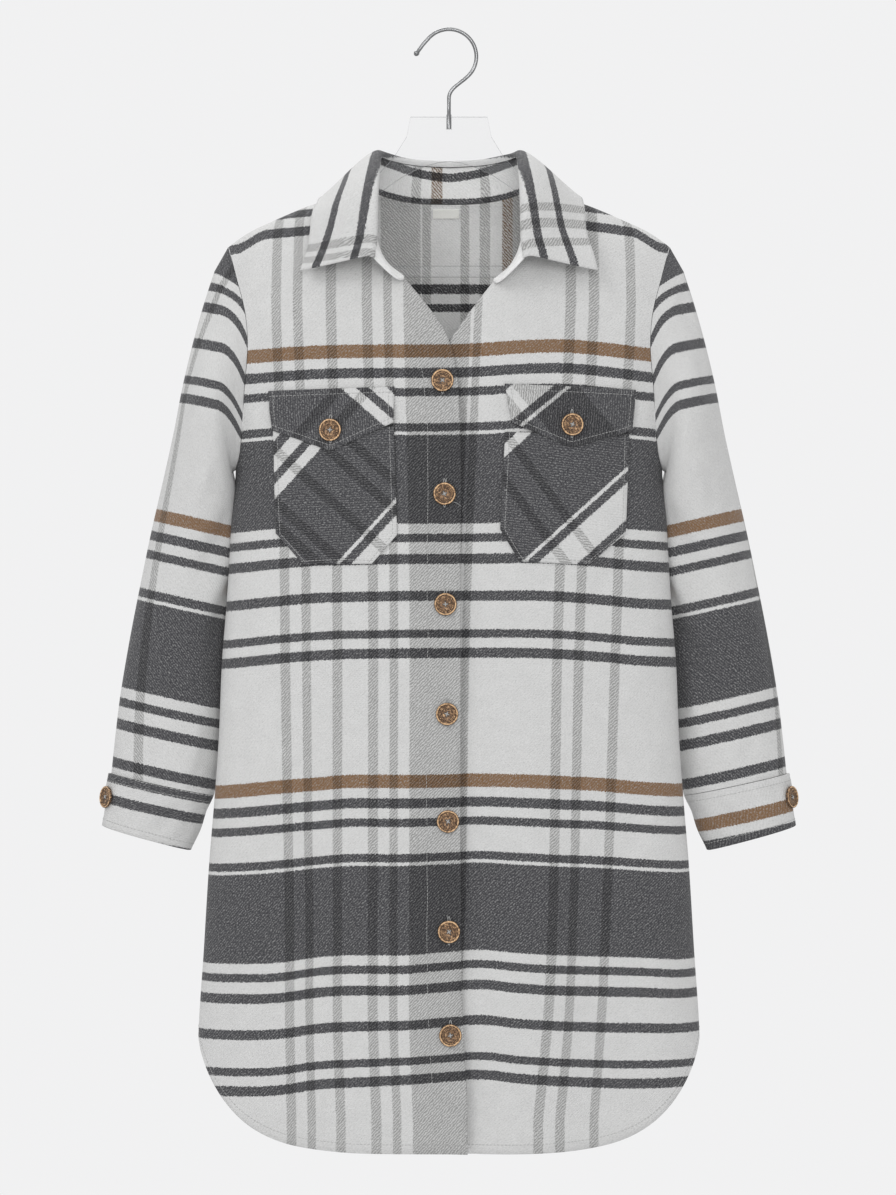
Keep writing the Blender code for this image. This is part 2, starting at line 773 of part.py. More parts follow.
def tube_faces(rings, sides):
    """Faces of a closed tube: its rings of points one after another, and a cap at each end."""
    faces = [tuple(range(sides))[::-1]]
    for ring in range(rings - 1):
        for k in range(sides):
            a = ring * sides + k
            b = ring * sides + (k + 1) % sides
            faces.append((a, b, b + sides, a + sides))
    last = (rings - 1) * sides
    faces.append(tuple(range(last, last + sides)))
    return faces


def turned(name, centre, axis, profile, sides, finish):
    """A turned piece: a profile of radius and height spun round an axis."""
    axis = unit(np.asarray(axis, float))
    aside = unit(np.cross(axis, (0.0, 0.0, 1.0)))
    upward = np.cross(aside, axis)
    turn = np.arange(sides) * 2 * math.pi / sides
    spokes = np.cos(turn)[:, None] * aside + np.sin(turn)[:, None] * upward
    rings = [np.asarray(centre) + axis * height + spokes * radius for radius, height in profile]
    return add_object(name, np.concatenate(rings), tube_faces(len(profile), sides), finish)


def button(name, centre, axis, finish):
    profile = [(share * BUTTON_RADIUS, height) for share, height in BUTTON_PROFILE]
    start = np.asarray(centre) + np.asarray(axis) * BUTTON_LIFT
    turned(name, start, axis, profile, BUTTON_SIDES, finish)


def buttons(finish):
    for number, (x, height) in enumerate(FRONT_BUTTONS):
        centre, axis = on_front(x, height, 0.0)
        button(f"button_front_{number + 1}", centre, axis, finish)
    for side, (x, height) in FLAP_BUTTONS.items():
        centre, axis = on_front(x, height, flap_lift(height) + WALL)
        button(f"button_flap_{side}", centre, axis, finish)
    turn = CUFF_BUTTON_TURN + np.array([-STEP_ACROSS, 0.0, STEP_ACROSS])
    row = np.array(CUFF_TOP) + CUFF_BUTTON_SHARE * (np.array(CUFF_BOTTOM) - np.array(CUFF_TOP))
    ring = section_ring(row, turn, np.full(3, CUFF_WALL + JOIN))
    along = np.array([CUFF_BOTTOM[1] - CUFF_TOP[1], 0.0, CUFF_BOTTOM[0] - CUFF_TOP[0]])
    axis = unit(np.cross(ring[2] - ring[0], along))
    if axis[0] < 0:
        axis = -axis
    for name, side in (("right", -1), ("left", 1)):
        flip = np.array([side, 1.0, 1.0])
        button(f"button_cuff_{name}", ring[1] * flip, axis * flip, finish)


def label(finish):
    left, right, top, bottom = LABEL
    x, height = np.meshgrid(np.linspace(left, right, LABEL_COLUMNS), np.linspace(top, bottom, LABEL_ROWS))
    across = across_of(x, height)
    out = form_normal(across, height, 1)
    points = form(across, height, 1) - out * (WALL + JOIN)
    wall("neck_label", points, points - out * LABEL_WALL, finish)


def hanger_outline():
    """The hanger's outer and inner outlines, from the middle round one side to the middle of the bar."""
    notch = [(0.0, NOTCH_BOTTOM), (NOTCH_HALF, NOTCH_BOTTOM), (NOTCH_HALF, PLATE_TOP)]
    flank = [(half, height) for height, half in PLATE_ROWS]
    x = np.linspace(ARM_START, ARM_REACH - NOSE_RADIUS, ARM_POINTS)
    slope = SHOULDER(x)[..., 0] - SHOULDER(x + 1)[..., 0]
    top = SHOULDER(x)[..., 0] - (WALL + ARM_SEAT) * np.sqrt(1 + slope**2) - ARM_DROP * (1 + slope / 2)
    arm = list(zip(x, top))
    end_x, end_z = arm[-1]
    turn = np.linspace(0, math.pi, NOSE_POINTS + 1)[1:]
    depth = (end_z - BAR_BOTTOM) / 2
    nose = [(end_x + NOSE_RADIUS * math.sin(a), end_z - depth * (1 - math.cos(a))) for a in turn]
    outer = notch + flank + arm + nose + [(0.0, BAR_BOTTOM)]
    arch = []
    for share in np.linspace(0, 1, ARCH_POINTS):
        arch.append((ARCH_HALF * share, ARCH_HEIGHT - ARCH_FALL * share**ARCH_POWER))
    under = []
    for place in np.linspace(UNDER_START, UNDER_END, UNDER_POINTS):
        under.append((place, SHOULDER(place)[0] - WALL - ARM_HEIGHT))
    return outer, arch + under + list(RETURN_CORNERS)


def hanger_body(finish):
    """A flat frame of one thickness: plate, two arms, the return of each arm and the bar."""
    maker = bmesh.new()
    for half in hanger_outline():
        loop = half + [(-x, z) for x, z in half[-2:0:-1]]
        ring = [maker.verts.new((x, -HANGER_THICK / 2, z)) for x, z in loop]
        for k, vert in enumerate(ring):
            maker.edges.new((vert, ring[(k + 1) % len(ring)]))
    bmesh.ops.triangle_fill(maker, edges=maker.edges[:], use_beauty=True, normal=(0, -1, 0))
    made = bmesh.ops.extrude_face_region(maker, geom=maker.faces[:])
    moved = [item for item in made["geom"] if isinstance(item, bmesh.types.BMVert)]
    bmesh.ops.translate(maker, verts=moved, vec=(0, HANGER_THICK, 0))
    bmesh.ops.recalc_face_normals(maker, faces=maker.faces[:])
    maker.verts.index_update()
    points = [tuple(vert.co) for vert in maker.verts]
    faces = [[vert.index for vert in face.verts] for face in maker.faces]
    maker.free()
    add_object("hanger_body", points, faces, finish)


def hook_path():
    """Middle line and radius of the hook: foot in the plate, stem, bend, round and tip."""
    rings = [(0.0, FERRULE_BOTTOM, FERRULE_RADIUS), (0.0, FERRULE_TOP, FERRULE_RADIUS)]
    rings.append((0.0, FERRULE_TOP + FERRULE_STEP, HOOK_WIRE))
    turns = np.linspace(HOOK_START_TURN, HOOK_END_TURN, HOOK_POINTS)
    bow = [(HOOK_RADIUS * math.cos(a), HOOK_CENTRE + HOOK_RADIUS * math.sin(a)) for a in turns]
    foot = (0.0, HOOK_STEM_TOP)
    low = (0.0, HOOK_STEM_TOP + BEND_LOW)
    high_x = bow[0][0] + BEND_HIGH * math.sin(HOOK_START_TURN)
    high = (high_x, bow[0][1] - BEND_HIGH * math.cos(HOOK_START_TURN))
    for t in np.arange(BEND_POINTS) / BEND_POINTS:
        weights = ((1 - t) ** 3, 3 * t * (1 - t) ** 2, 3 * t * t * (1 - t), t**3)
        x, z = (sum(w * corner[k] for w, corner in zip(weights, (foot, low, high, bow[0]))) for k in (0, 1))
        rings.append((x, z, HOOK_WIRE))
    rings += [(x, z, HOOK_WIRE) for x, z in bow + list(HOOK_TIP)]
    heading = unit(np.subtract(HOOK_TIP[1], HOOK_TIP[0]))
    for step, radius in HOOK_BALL:
        x, z = np.array(HOOK_TIP[1]) + heading * step
        rings.append((x, z, radius))
    return np.array(rings)


def hanger_hook(finish):
    """A bent wire with a ball end, made of rings along its middle line."""
    rings = hook_path()
    path = np.column_stack([rings[:, 0], np.zeros(len(rings)), rings[:, 1]])
    side = np.array([0.0, 1.0, 0.0])
    up = np.cross(side, unit(np.gradient(path, axis=0)))
    turn = np.arange(HOOK_SIDES) * 2 * math.pi / HOOK_SIDES
    spokes = np.cos(turn)[None, :, None] * side + np.sin(turn)[None, :, None] * up[:, None]
    points = path[:, None] + spokes * rings[:, 2][:, None, None]
    add_object("hanger_hook", points.reshape(-1, 3), tube_faces(len(rings), HOOK_SIDES), finish)


def clear_scene():
    for item in list(bpy.data.objects):
        bpy.data.objects.remove(item, do_unlink=True)


def main():
    clear_scene()
    root = bpy.data.objects.new("garment", None)
    bpy.context.scene.collection.objects.link(root)
    flannel = material("plaid_flannel", (0.60, 0.60, 0.59), 0.95)
    bronze = material("bronze_button", (0.32, 0.19, 0.09), 0.4, 0.6)
    plastic = material("clear_plastic", (0.86, 0.88, 0.90), 0.15, 0.0, 0.35)
    chrome = material("polished_wire", (0.55, 0.56, 0.57), 0.18, 1.0)
    tape = material("label_tape", (0.80, 0.80, 0.78), 0.8)

    fronts = {}
    for side, name in ((-1, "front_right"), (1, "front_left")):
        outer, inner = front_points(side)
        fronts[side] = outer
        wall(name, outer, inner, flannel)
    back_outer, back_inner = back_points()
    wall("back", back_outer, back_inner, flannel)
    for side, name in ((-1, "right"), (1, "left")):
        outer, inner = sleeve_points(fronts[side], back_outer, side)
        wall(f"sleeve_{name}", outer, inner, flannel, closed=True)
        outer, inner = cuff_points(side)
        wall(f"cuff_{name}", outer, inner, flannel)
        pocket(name, flannel)
        flap(name, flannel)
    collar(fronts, back_outer, flannel)
    buttons(bronze)
    label(tape)
    hanger_body(plastic)
    hanger_hook(chrome)


main()
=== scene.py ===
"""Looks for a long plaid flannel shirt jacket that hangs on a clear hanger.

Lengths in the tables are in millimetres, in the frame of the solids: +Z is up, the fronts face -Y and the
wearer's right side is at -X. Each cloth piece is a thin shell on its solid's form, with creases and a plaid
that runs as its panel was cut.
"""

import collections
import functools
import math

import bmesh
import bpy
import numpy as np
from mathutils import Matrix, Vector


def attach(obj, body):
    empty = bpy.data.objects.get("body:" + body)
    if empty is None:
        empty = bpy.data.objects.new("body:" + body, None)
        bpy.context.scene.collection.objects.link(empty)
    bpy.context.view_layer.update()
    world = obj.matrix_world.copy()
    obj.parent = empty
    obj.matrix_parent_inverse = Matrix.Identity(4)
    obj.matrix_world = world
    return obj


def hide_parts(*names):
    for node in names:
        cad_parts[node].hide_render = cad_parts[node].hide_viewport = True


bl_info = {
    "name": "Plaid Shacket",
    "version": (1, 0, 0),
    "blender": (4, 5, 0),
    "location": "View3D > Sidebar > Shacket",
    "description": "Makes the cloth, sewing, buttons, hanger and studio of a plaid flannel shirt jacket",
    "category": "Add Mesh",
}

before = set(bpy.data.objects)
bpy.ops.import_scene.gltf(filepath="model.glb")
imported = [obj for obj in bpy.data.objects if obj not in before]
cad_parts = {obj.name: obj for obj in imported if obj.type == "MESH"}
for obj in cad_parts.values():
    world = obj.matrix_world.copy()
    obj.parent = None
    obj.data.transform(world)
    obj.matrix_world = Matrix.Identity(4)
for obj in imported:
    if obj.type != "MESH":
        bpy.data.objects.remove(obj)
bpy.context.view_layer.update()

MM = 0.001

# Cloth and seams
SEAM = 0.3
JOIN = 0.45
LEAF_EXTRA = 0.6
CUFF_EXTRA = 0.6
# How far a soft edge is rounded out, as a share of the cloth's thickness
RIM_ROUNDING = 0.32
# The wearer's two sides
SIDES = ((-1, "right"), (1, "left"))

# Body
SECTION_POWER = 2.2
ROLL_POWER = 2.2
FRONT_ROLL = 130.0
BACK_ROLL = 80.0
UNDERARM = -457.0
SHOULDER_TIP = 229.0
NECK_HALF = 84.0
BACK_NECK_HEIGHT = -177.0
HEM_SIDE = -1042.0
HEM_DROP = 117.0
HEM_POWER = 5.0
HEM_BLEND = 1.4
BACK_NECK_POWER = 2.6

# Grids
SIDE_ROWS = 110
ARMHOLE_ROWS = 44
NECK_ROWS = 26
SHOULDER_COLUMNS = 42
NECK_COLUMNS = 40
FRONT_ROW_POWER = 0.9
STEP_ACROSS = 1e-3
STEP_DOWN = 0.05

# Height, half width, front depth, back depth
BODY_ROWS = (
    (-120, 232, 46, 46),
    (-225, 237, 54, 54),
    (-295, 241, 59, 60),
    (-330, 240, 60, 62),
    (-375, 235, 60, 62),
    (-425, 227, 60, 62),
    (-457, 221.8, 60, 61),
    (-490, 225, 60, 60),
    (-592, 231, 59, 59),
    (-654, 236, 58, 58),
    (-737, 239.5, 57, 58),
    (-800, 244, 57, 58),
    (-867, 249.5, 57, 58),
    (-956, 255, 58, 59),
    (-1042, 260.5, 59, 60),
    (-1170, 261.5, 60, 61),
)

# Distance from the centre, height of the shoulder line
SHOULDER_ROWS = (
    (0, -158),
    (60, -160),
    (84, -164),
    (108, -170),
    (133, -177.5),
    (150, -183.5),
    (186, -199),
    (204, -207.3),
    (217, -215.3),
    (229, -224.5),
    (245, -241),
)

# Height, distance from the centre in the front panel, in the back panel
ARMHOLE_TABLE = (
    (-224.5, 229, 229),
    (-257, 220, 223.5),
    (-296, 210, 217),
    (-330, 207.5, 214.5),
    (-373, 211, 215),
    (-425, 214.5, 216.5),
    (-445, 217.5, 218.5),
    (-457, 221.8, 221.8),
)

# Height, reach of each front past the centre line: the wearer's right front is on top
FRONT_EDGE_ROWS = {
    -1: (
        (-1165, -18.4),
        (-1124, -18.4),
        (-1012, -13.3),
        (-755, -11.3),
        (-581, -11.3),
        (-388, -9.7),
        (-358, -7.2),
        (-336, -3.1),
        (-311, 7.6),
        (-287, 24.9),
        (-261, 46.4),
    ),
    1: (
        (-1165, -15),
        (-755, -20),
        (-450, -20),
        (-385, -17),
        (-355, -11),
        (-327, 1),
        (-298, 20.5),
        (-264, 46.4),
    ),
}
FRONT_NECK_HEIGHT = {-1: -261.0, 1: -264.0}
UNDERLAP_START = 26.0
UNDERLAP_EASE = 40.0
UNDERLAP_GAP = 0.7
# The right front's edge stands off in slow waves: height of a wave, its length over a turn, its start
EDGE_LIFT = 2.8
EDGE_LIFT_START = 6.0
EDGE_LIFT_EASE = 5.0
EDGE_WAVES = ((0.5, 37.0, 0.0), (0.3, 11.0, 1.0))
LAP_TOP = -345.0
LAP_EASE = 40.0
# The trough in the left front beside that edge
LAP_TROUGH = 4.5
LAP_TROUGH_PLACE = 2.0
LAP_TROUGH_WIDTH = 6.0

# Share of the way from the front end to the shoulder, distance from the centre, share of the rise
NECKLINE_ROWS = (
    (0.0, 46.4, 0.0),
    (0.25, 65.0, 0.16),
    (0.5, 77.0, 0.42),
    (0.75, 83.0, 0.73),
    (1.0, 84.0, 1.0),
)

# Face (-1 front, 1 back), top x and height, bottom x and height, half width, depth of each soft fold
FOLDS = (
    (-1, -128, -560, -136, -1120, 26, -4.5),
    (-1, -196, -640, -214, -1090, 24, 3.0),
    (-1, 64, -620, 72, -1140, 34, 2.5),
    (-1, 150, -600, 150, -1120, 28, -4.0),
    (-1, 206, -560, 226, -1060, 22, 2.5),
    (1, -140, -520, -152, -1130, 34, -5.0),
    (1, -58, -430, -66, -1140, 30, 3.5),
    (1, 28, -520, 20, -1140, 32, -4.0),
    (1, 118, -480, 130, -1130, 36, 4.0),
    (1, 196, -560, 212, -1080, 26, -3.5),
)
FOLD_GROWTH = 1.2
FOLD_SIDE_FADE = 1.6

# Face, start x and height, end x and height, half width, depth of each crease of the body
CREASES = (
    (-1, -206, -345, -150, -500, 11, -1.6),
    (-1, -200, -300, -178, -395, 9, -1.2),
    (-1, -196, -470, -120, -620, 13, -1.5),
    (-1, -214, -560, -160, -700, 12, 1.3),
    (-1, -60, -575, -40, -760, 12, -0.9),
    (-1, -206, -780, -150, -930, 14, -1.3),
    (-1, -110, -840, -90, -1010, 14, 1.2),
    (-1, -182, -960, -176, -1110, 11, -1.3),
    (-1, -66, -990, -58, -1130, 10, -1.2),
    (-1, 204, -345, 160, -480, 10, -1.7),
    (-1, 196, -290, 184, -400, 9, 1.1),
    (-1, 202, -470, 130, -640, 13, -1.4),
    (-1, 216, -600, 180, -720, 12, 1.2),
    (-1, 58, -600, 44, -770, 12, -1.0),
    (-1, 200, -790, 140, -950, 14, -1.2),
    (-1, 108, -880, 98, -1040, 13, 1.1),
    (-1, 196, -990, 188, -1100, 10, -1.3),
    (-1, 44, -980, 50, -1120, 9, -1.1),
    (1, -190, -330, -110, -470, 13, -1.8),
    (1, -200, -420, -150, -600, 12, 1.4),
    (1, 30, -260, 24, -420, 15, -1.1),
    (1, 190, -350, 122, -500, 12, -1.7),
    (1, 206, -470, 160, -640, 13, 1.3),
    (1, -90, -700, -40, -880, 14, -1.3),
    (1, 90, -760, 40, -930, 15, -1.2),
    (1, -180, -860, -150, -1060, 12, -1.4),
    (1, 166, -900, 176, -1080, 11, 1.3),
)

# Outer height and reach, inner height and reach, centre of depth, half depth of each sleeve ring
SLEEVE_ROWS = (
    (-250, 244.0, -458.5, 224.8, 1, 42),
    (-285, 255.3, -461.5, 226.4, 3, 50),
    (-325, 266.7, -466.5, 223.4, 6, 54),
    (-370, 277.7, -476.0, 220.6, 10, 55),
    (-418, 287.5, -492.0, 219.4, 16, 54),
    (-468, 299.2, -520.0, 219.2, 24, 51),
    (-522, 312.2, -566.0, 221.5, 31, 48),
    (-580, 324.4, -613.0, 227.4, 34, 45),
    (-636, 335.3, -663.0, 231.4, 34, 41),
    (-690, 344.3, -712.0, 234.4, 33, 37),
    (-735, 349.7, -757.0, 238.4, 31, 33),
    (-772.9, 353.5, -795.9, 245.9, 28, 28),
)
SLEEVE_FINE = 12
SLEEVE_FADE = 4
SLEEVE_BULGE = np.array([1.0, 0.75, 1.0])
# The fold beside the front armhole: its depth, the share of the ring it lies at, and its width as a share
SLEEVE_FOLD_DEPTH = 7.0
SLEEVE_FOLD_PLACE = 0.108
SLEEVE_FOLD_WIDTH = 0.046
SLEEVE_FOLD_GROWTH = 2
SLEEVE_FOLD_FADE = 5
SLEEVE_FOLD_WAY = np.array([0.25, 1.0, 0.0])

# Rings that are as long as one turn round the sleeve
SLEEVE_TURN_RINGS = 22.0
# Side, start ring and share of the turn, end ring and share, half width as a share, depth of each crease
SLEEVE_CREASES = (
    (-1, 4.6, 0.42, 6.6, 0.24, 0.020, -2.6),
    (-1, 5.4, 0.44, 7.0, 0.30, 0.018, 2.0),
    (-1, 6.2, 0.45, 7.8, 0.33, 0.020, -2.4),
    (-1, 3.4, 0.30, 5.6, 0.20, 0.024, 1.8),
    (-1, 8.2, 0.18, 10.6, 0.24, 0.026, -1.3),
    (-1, 9.2, 0.36, 11.2, 0.30, 0.022, 1.5),
    (-1, 3.0, 0.78, 6.4, 0.70, 0.026, -2.2),
    (-1, 6.0, 0.60, 7.6, 0.72, 0.020, -2.4),
    (-1, 7.4, 0.84, 10.2, 0.78, 0.022, 1.7),
    (1, 4.4, 0.43, 6.2, 0.26, 0.021, -2.4),
    (1, 5.2, 0.45, 6.9, 0.32, 0.018, 2.0),
    (1, 6.5, 0.44, 8.0, 0.31, 0.021, -2.2),
    (1, 3.6, 0.28, 5.2, 0.20, 0.022, 1.6),
    (1, 8.8, 0.16, 11.0, 0.22, 0.026, -1.4),
    (1, 8.0, 0.38, 10.0, 0.32, 0.020, 1.4),
    (1, 3.4, 0.74, 6.0, 0.68, 0.025, -2.0),
    (1, 6.4, 0.62, 8.2, 0.74, 0.021, -2.3),
    (1, 8.4, 0.86, 10.8, 0.82, 0.022, 1.6),
)

# Outer height and reach, inner height and reach, centre of depth, half depth of the cuff's two ends
CUFF_TOP = (-773.5, 353.6, -796.5, 246.2, 28, 28)
CUFF_BOTTOM = (-828.0, 360.3, -853.0, 270.0, 27, 24)
CUFF_LAP_START = math.radians(50)
CUFF_LAP_END = math.radians(-22)
CUFF_LAP_EASE = math.radians(60)
CUFF_COLUMNS = 110
CUFF_ROWS = 14
CUFF_RIPPLE = 0.5
CUFF_FINE_RIPPLE = 0.35
CUFF_WARP_START = 30.0
CUFF_WEFT_START = 275.0
CUFF_WEFT_PLACE = {-1: 195.0, 1: 415.5}
CUFF_BUTTON_TURN = math.radians(20)
CUFF_BUTTON_SHARE = 0.44

# Share from the centre back to the front end, roll line x, y, height, leaf edge x, y, height
COLLAR_ROWS = (
    (0.0, 0, 32, -139, 0, 52, -190),
    (0.17, 37, 28, -137, 48, 51, -192),
    (0.32, 62, 16, -133, 98, 47, -190),
    (0.45, 73, -3, -131, 130, 12, -172.5),
    (0.6, 76, -54, -158, 137, -26, -185),
    (0.8, 77, -80, -213, 142, -48, -217),
    (1.0, 77, -80, -243, 151, -60, -254),
)
COLLAR_COLUMNS = 90
STAND_ROWS = 12
STAND_CLEAR_BACK = (0.0, 0.6, 0.3)
STAND_CLEAR_FRONT = (0.0, -1.0, 0.3)
STAND_CLEAR_START = 0.5
STAND_CLEAR_END = 0.7
TAB_LENGTH = 13.0
TAB_START = 0.86
LEAF_ROWS = 34
LEAF_ROW_POWER = 1.25
LEAF_JOIN = 0.7
LEAF_RISE = 10.0
LEAF_OUT = 17.0
LEAF_FALL = 0.3

# Waves of the leaf: height, number of radians over half the collar, shift of the two sides, growth down it
LEAF_WAVE = 1.1
LEAF_WAVE_TURNS = 17.0
LEAF_WAVE_SHIFT = 1.1
LEAF_WAVE_GROWTH = 1.3
LEAF_WAVE_START = 0.05
LEAF_WAVE_EASE = 0.3

# Pockets: level, left x and height, right x and height, from the mouth down
POCKET_LIFT = 0.45
PATCH_COLUMNS = 34
POCKET_LEVELS = np.concatenate([np.linspace(0, 1, 30)[:-1], np.linspace(1, 2, 12)])
POCKETS = {
    "right": (
        (0, -180.4, -418.0, -57.0, -414.0),
        (1, -177.5, -523.0, -53.5, -524.5),
        (2, -149.0, -554.5, -79.0, -554.0),
    ),
    "left": (
        (0, 58.0, -420.0, 185.0, -421.5),
        (1, 53.0, -519.0, 181.0, -522.5),
        (2, 72.5, -551.5, 143.0, -555.0),
    ),
}
# Flaps: top left x and height, top right, bottom left, bottom right, and the point
FLAP_ROWS = 16
FLAPS = {
    "right": (-185.0, -377.0, -56.4, -373.5, -180.4, -416.0, -57.4, -409.5, -121.0, -438.0),
    "left": (57.6, -370.5, 191.5, -375.5, 65.0, -409.5, 188.0, -416.5, 125.0, -434.5),
}
FLAP_RISE_START = -382.0
FLAP_RISE_END = -400.0

# Buttons: share of the radius, height above the cloth
BUTTON_LIFT = 0.45
BUTTON_PROFILE = (
    (0.70, 0.0),
    (0.86, 0.3),
    (0.97, 1.0),
    (1.00, 1.9),
    (0.99, 2.9),
    (0.955, 3.4),
    (0.90, 3.55),
    (0.86, 3.4),
    (0.83, 2.95),
    (0.79, 2.75),
    (0.66, 2.7),
    (0.60, 2.85),
    (0.57, 3.05),
    (0.54, 2.85),
    (0.44, 2.6),
    (0.30, 2.45),
    (0.12, 2.4),
    (0.0, 2.4),
)
BUTTON_SIDES = 56
# Name of the value that says how far out each point of a button lies, and the colour along it: patina in the
# hollows, wear on the crests, a worn rim with a painted highlight, and painted shade on the outer edge
RING = "ring"
BUTTON_WEAR_AND_PAINTED_LIGHT = (
    (0.0, (0.20, 0.20, 0.20)),
    (0.46, (0.34, 0.34, 0.34)),
    (0.53, (0.02, 0.02, 0.02)),
    (0.58, (0.55, 0.55, 0.55)),
    (0.62, (0.04, 0.04, 0.04)),
    (0.70, (0.52, 0.52, 0.52)),
    (0.79, (0.0, 0.0, 0.0)),
    # The rim: worn pale, with a painted highlight
    (0.86, (0.80, 0.80, 0.80)),
    (0.93, (0.92, 0.92, 0.92)),
    # The outer edge: painted shade, the shadow under the button
    (0.98, (0.12, 0.12, 0.12)),
    (1.0, (0.0, 0.0, 0.0)),
)
# Beads of each ring: number, distance out as a share, turn of the first, height, radius, flatness, sides, rings
BEAD_RINGS = ((26, 0.70, 0.0, 2.68, 0.85, 0.55, 10, 5), (9, 0.43, 0.2, 2.5, 0.62, 0.5, 8, 4))
HOLES = 4
HOLE_PLACE = 2.3
HOLE_RADIUS = 1.05
HOLE_HEIGHT = 2.44
HOLE_FLATNESS = 0.12
# Two threads each way across the holes: how far each lies aside, height of their ends, rise of each way
THREAD_ASIDE = 0.34
THREAD_HEIGHT = 2.1
THREAD_RISES = (1.15, 1.45)
BUTTON_SPIN = 0.35
FRONT_BUTTONS = (
    (-6.7, -366.5),
    (-4.6, -482.7),
    (-3.6, -595.8),
    (-2.0, -708.4),
    (-1.0, -818.5),
    (0.0, -931.6),
    (1.5, -1037.6),
)
FLAP_BUTTONS = {"right": (-120.8, -417.1), "left": (125.4, -411.5)}
BUTTONHOLE_POINTS = 56
BUTTONHOLE_HALF_WIDTH = 1.5
BUTTONHOLE_HALF_LENGTH = 14.5
BUTTONHOLE_UP = 1.0
BUTTONHOLE_POWER = 0.6
BUTTONHOLE_LIFT = 0.25
BUTTONHOLE_THREAD = 0.42
# Loose ends: the button, start beside and above it, way it runs across and up, radius, lift off the front
LOOSE_ENDS = (
    (FRONT_BUTTONS[1], 8.0, -8.5, 9.5, -4.5, 0.26, 1.0),
    (FRONT_BUTTONS[1], 1.6, 12.0, 1.2, 4.0, 0.34, 1.0),
    (FRONT_BUTTONS[5], -1.0, 12.0, -1.5, 5.0, 0.26, 1.0),
    (FLAP_BUTTONS["right"], 1.0, 12.0, 2.4, 2.0, 0.26, 4.0),
    (FRONT_BUTTONS[3], 0.8, -12.0, 1.8, -3.0, 0.22, 1.0),
)
LOOSE_BEND = 1.1
LOOSE_RISE = 1.2

# Label: way and pitch of its threads, in metres
LABEL_WEAVE = (("X", 0.0006), ("Z", 0.0005))

# Hook: a wire with a thick foot in a notch of the plate
FERRULE_RADIUS = 2.6
FERRULE_TOP = -87.0
FERRULE_BOTTOM = -101.7
FERRULE_STEP = 0.6
HOOK_WIRE = 2.0
HOOK_SIDES = 28
HOOK_RADIUS = 28.5
HOOK_CENTRE = -26.5
HOOK_START_TURN = math.radians(-24)
HOOK_END_TURN = math.radians(137)
HOOK_POINTS = 60
HOOK_STEM_TOP = -70.0
BEND_LOW = 14.0
BEND_HIGH = 16.0
BEND_POINTS = 28
HOOK_TIP = ((-27.1, -14.1), (-32.2, -21.0))
HOOK_BALL = ((0.5, 2.2), (1.0, 2.6), (1.9, 2.9), (2.8, 2.95), (3.8, 2.6), (4.8, 1.9), (5.4, 1.1), (5.6, 0.5))

# Unevenness of the cloth: spots to a metre, fineness, roughness
CLOTH_NOISE = {
    "fuzz": (1100.0, 2.0, 0.5),
    "wander": (260.0, 3.0, 0.5),
    "wear": (430.0, 3.0, 0.7),
    "fibres": (520.0, 4.0, 0.8),
    "mottle": (55.0, 4.0, 0.6),
    "grain": (420.0, 5.0, 0.85),
    "nap": (900.0, 5.0, 0.65),
    "soft": (130.0, 3.0, 0.55),
}
# How far the stripes' edges stray and the twill lines wander, in metres
FUZZ_REACH = 0.0046
TWILL_WANDER = 0.0052
# Twill: its depth, the pitch of the weft yarns as a share, how much is worn, where and how much it covers
TWILL_DEPTH = 0.72
TWILL_DEPTH_INSIDE = 0.7
TWILL_DEPTH_BIAS = 0.8
YARN_SHARE = 0.62
TWILL_WEAR = 1.3
TWILL_LIFT = (0.1, 0.9)
TWILL_COVER = 1.15
# Loose fibres and flecks: where they show, how they follow the twill, their tint and level
FIBRE_SHOWS = (0.45, 0.62)
FIBRE_COVER = (0.56, 0.06)
FLECK_TINT = 0.75
FLECK_LEVEL = 0.70
MOTTLE_LEVEL = (0.16, 0.93)
GRAIN_LEVEL = (0.50, 0.75)
# Share of each part in the relief
RELIEF_TWILL = 0.35
RELIEF_NAP = 0.9
RELIEF_YARN = 0.12
RELIEF_SOFT = 1.2
# The back and the collar stand, which are seen in the neck's shade, have a paler ground: painted light that lifts
# that shade
BACK_PAINTED_LIGHT = 1.42
STAND_PAINTED_LIGHT = 1.35
STRIPE_MARGIN = 5.0

# Plaid, from the brown stripe down the cloth: start, end, colour of each weft stripe
WEFT_PERIOD = 440.9
WEFT_ROWS = (
    (0.0, 12.3, "brown"),
    (24.1, 33.8, "charcoal"),
    (43.6, 52.6, "charcoal"),
    (80.0, 89.2, "charcoal"),
    (92.6, 182.8, "charcoal"),
    (193.7, 203.2, "charcoal"),
    (214.4, 224.3, "charcoal"),
    (253.0, 262.4, "charcoal"),
    (291.1, 300.9, "charcoal"),
    (311.6, 321.7, "charcoal"),
)
# Start, end, colour of each warp stripe, across the centre of a front at the reference height
WARP_REFERENCE = -607.0
WARP_FRONT_RIGHT = (
    (-174.3, -164.0, "grey"),
    (-151.7, -142.5, "grey"),
    (-119.9, -109.7, "grey"),
    (-83.0, -72.8, "grey"),
    (-61.5, -52.3, "grey"),
    (-41.0, 16.0, "grey"),
)
WARP_FRONT_LEFT = (
    (-30.0, 10.0, "grey"),
    (13.3, 21.5, "grey"),
    (106.6, 116.9, "grey"),
    (129.2, 139.4, "grey"),
    (167.0, 177.3, "grey"),
    (256.0, 264.0, "grey"),
)
WARP_BACK = (
    (-232.0, -222.0, "grey"),
    (-201.0, -191.0, "grey"),
    (-164.0, -154.0, "grey"),
    (-127.0, -117.0, "grey"),
    (-105.0, -95.0, "grey"),
    (-72.8, -31.7, "grey"),
    (-28.5, -19.0, "grey"),
    (10.6, 20.0, "grey"),
    (31.7, 42.2, "grey"),
    (54.9, 66.5, "brown"),
    (66.5, 76.0, "grey"),
    (158.0, 168.0, "grey"),
    (180.0, 190.0, "grey"),
    (217.0, 227.0, "grey"),
)
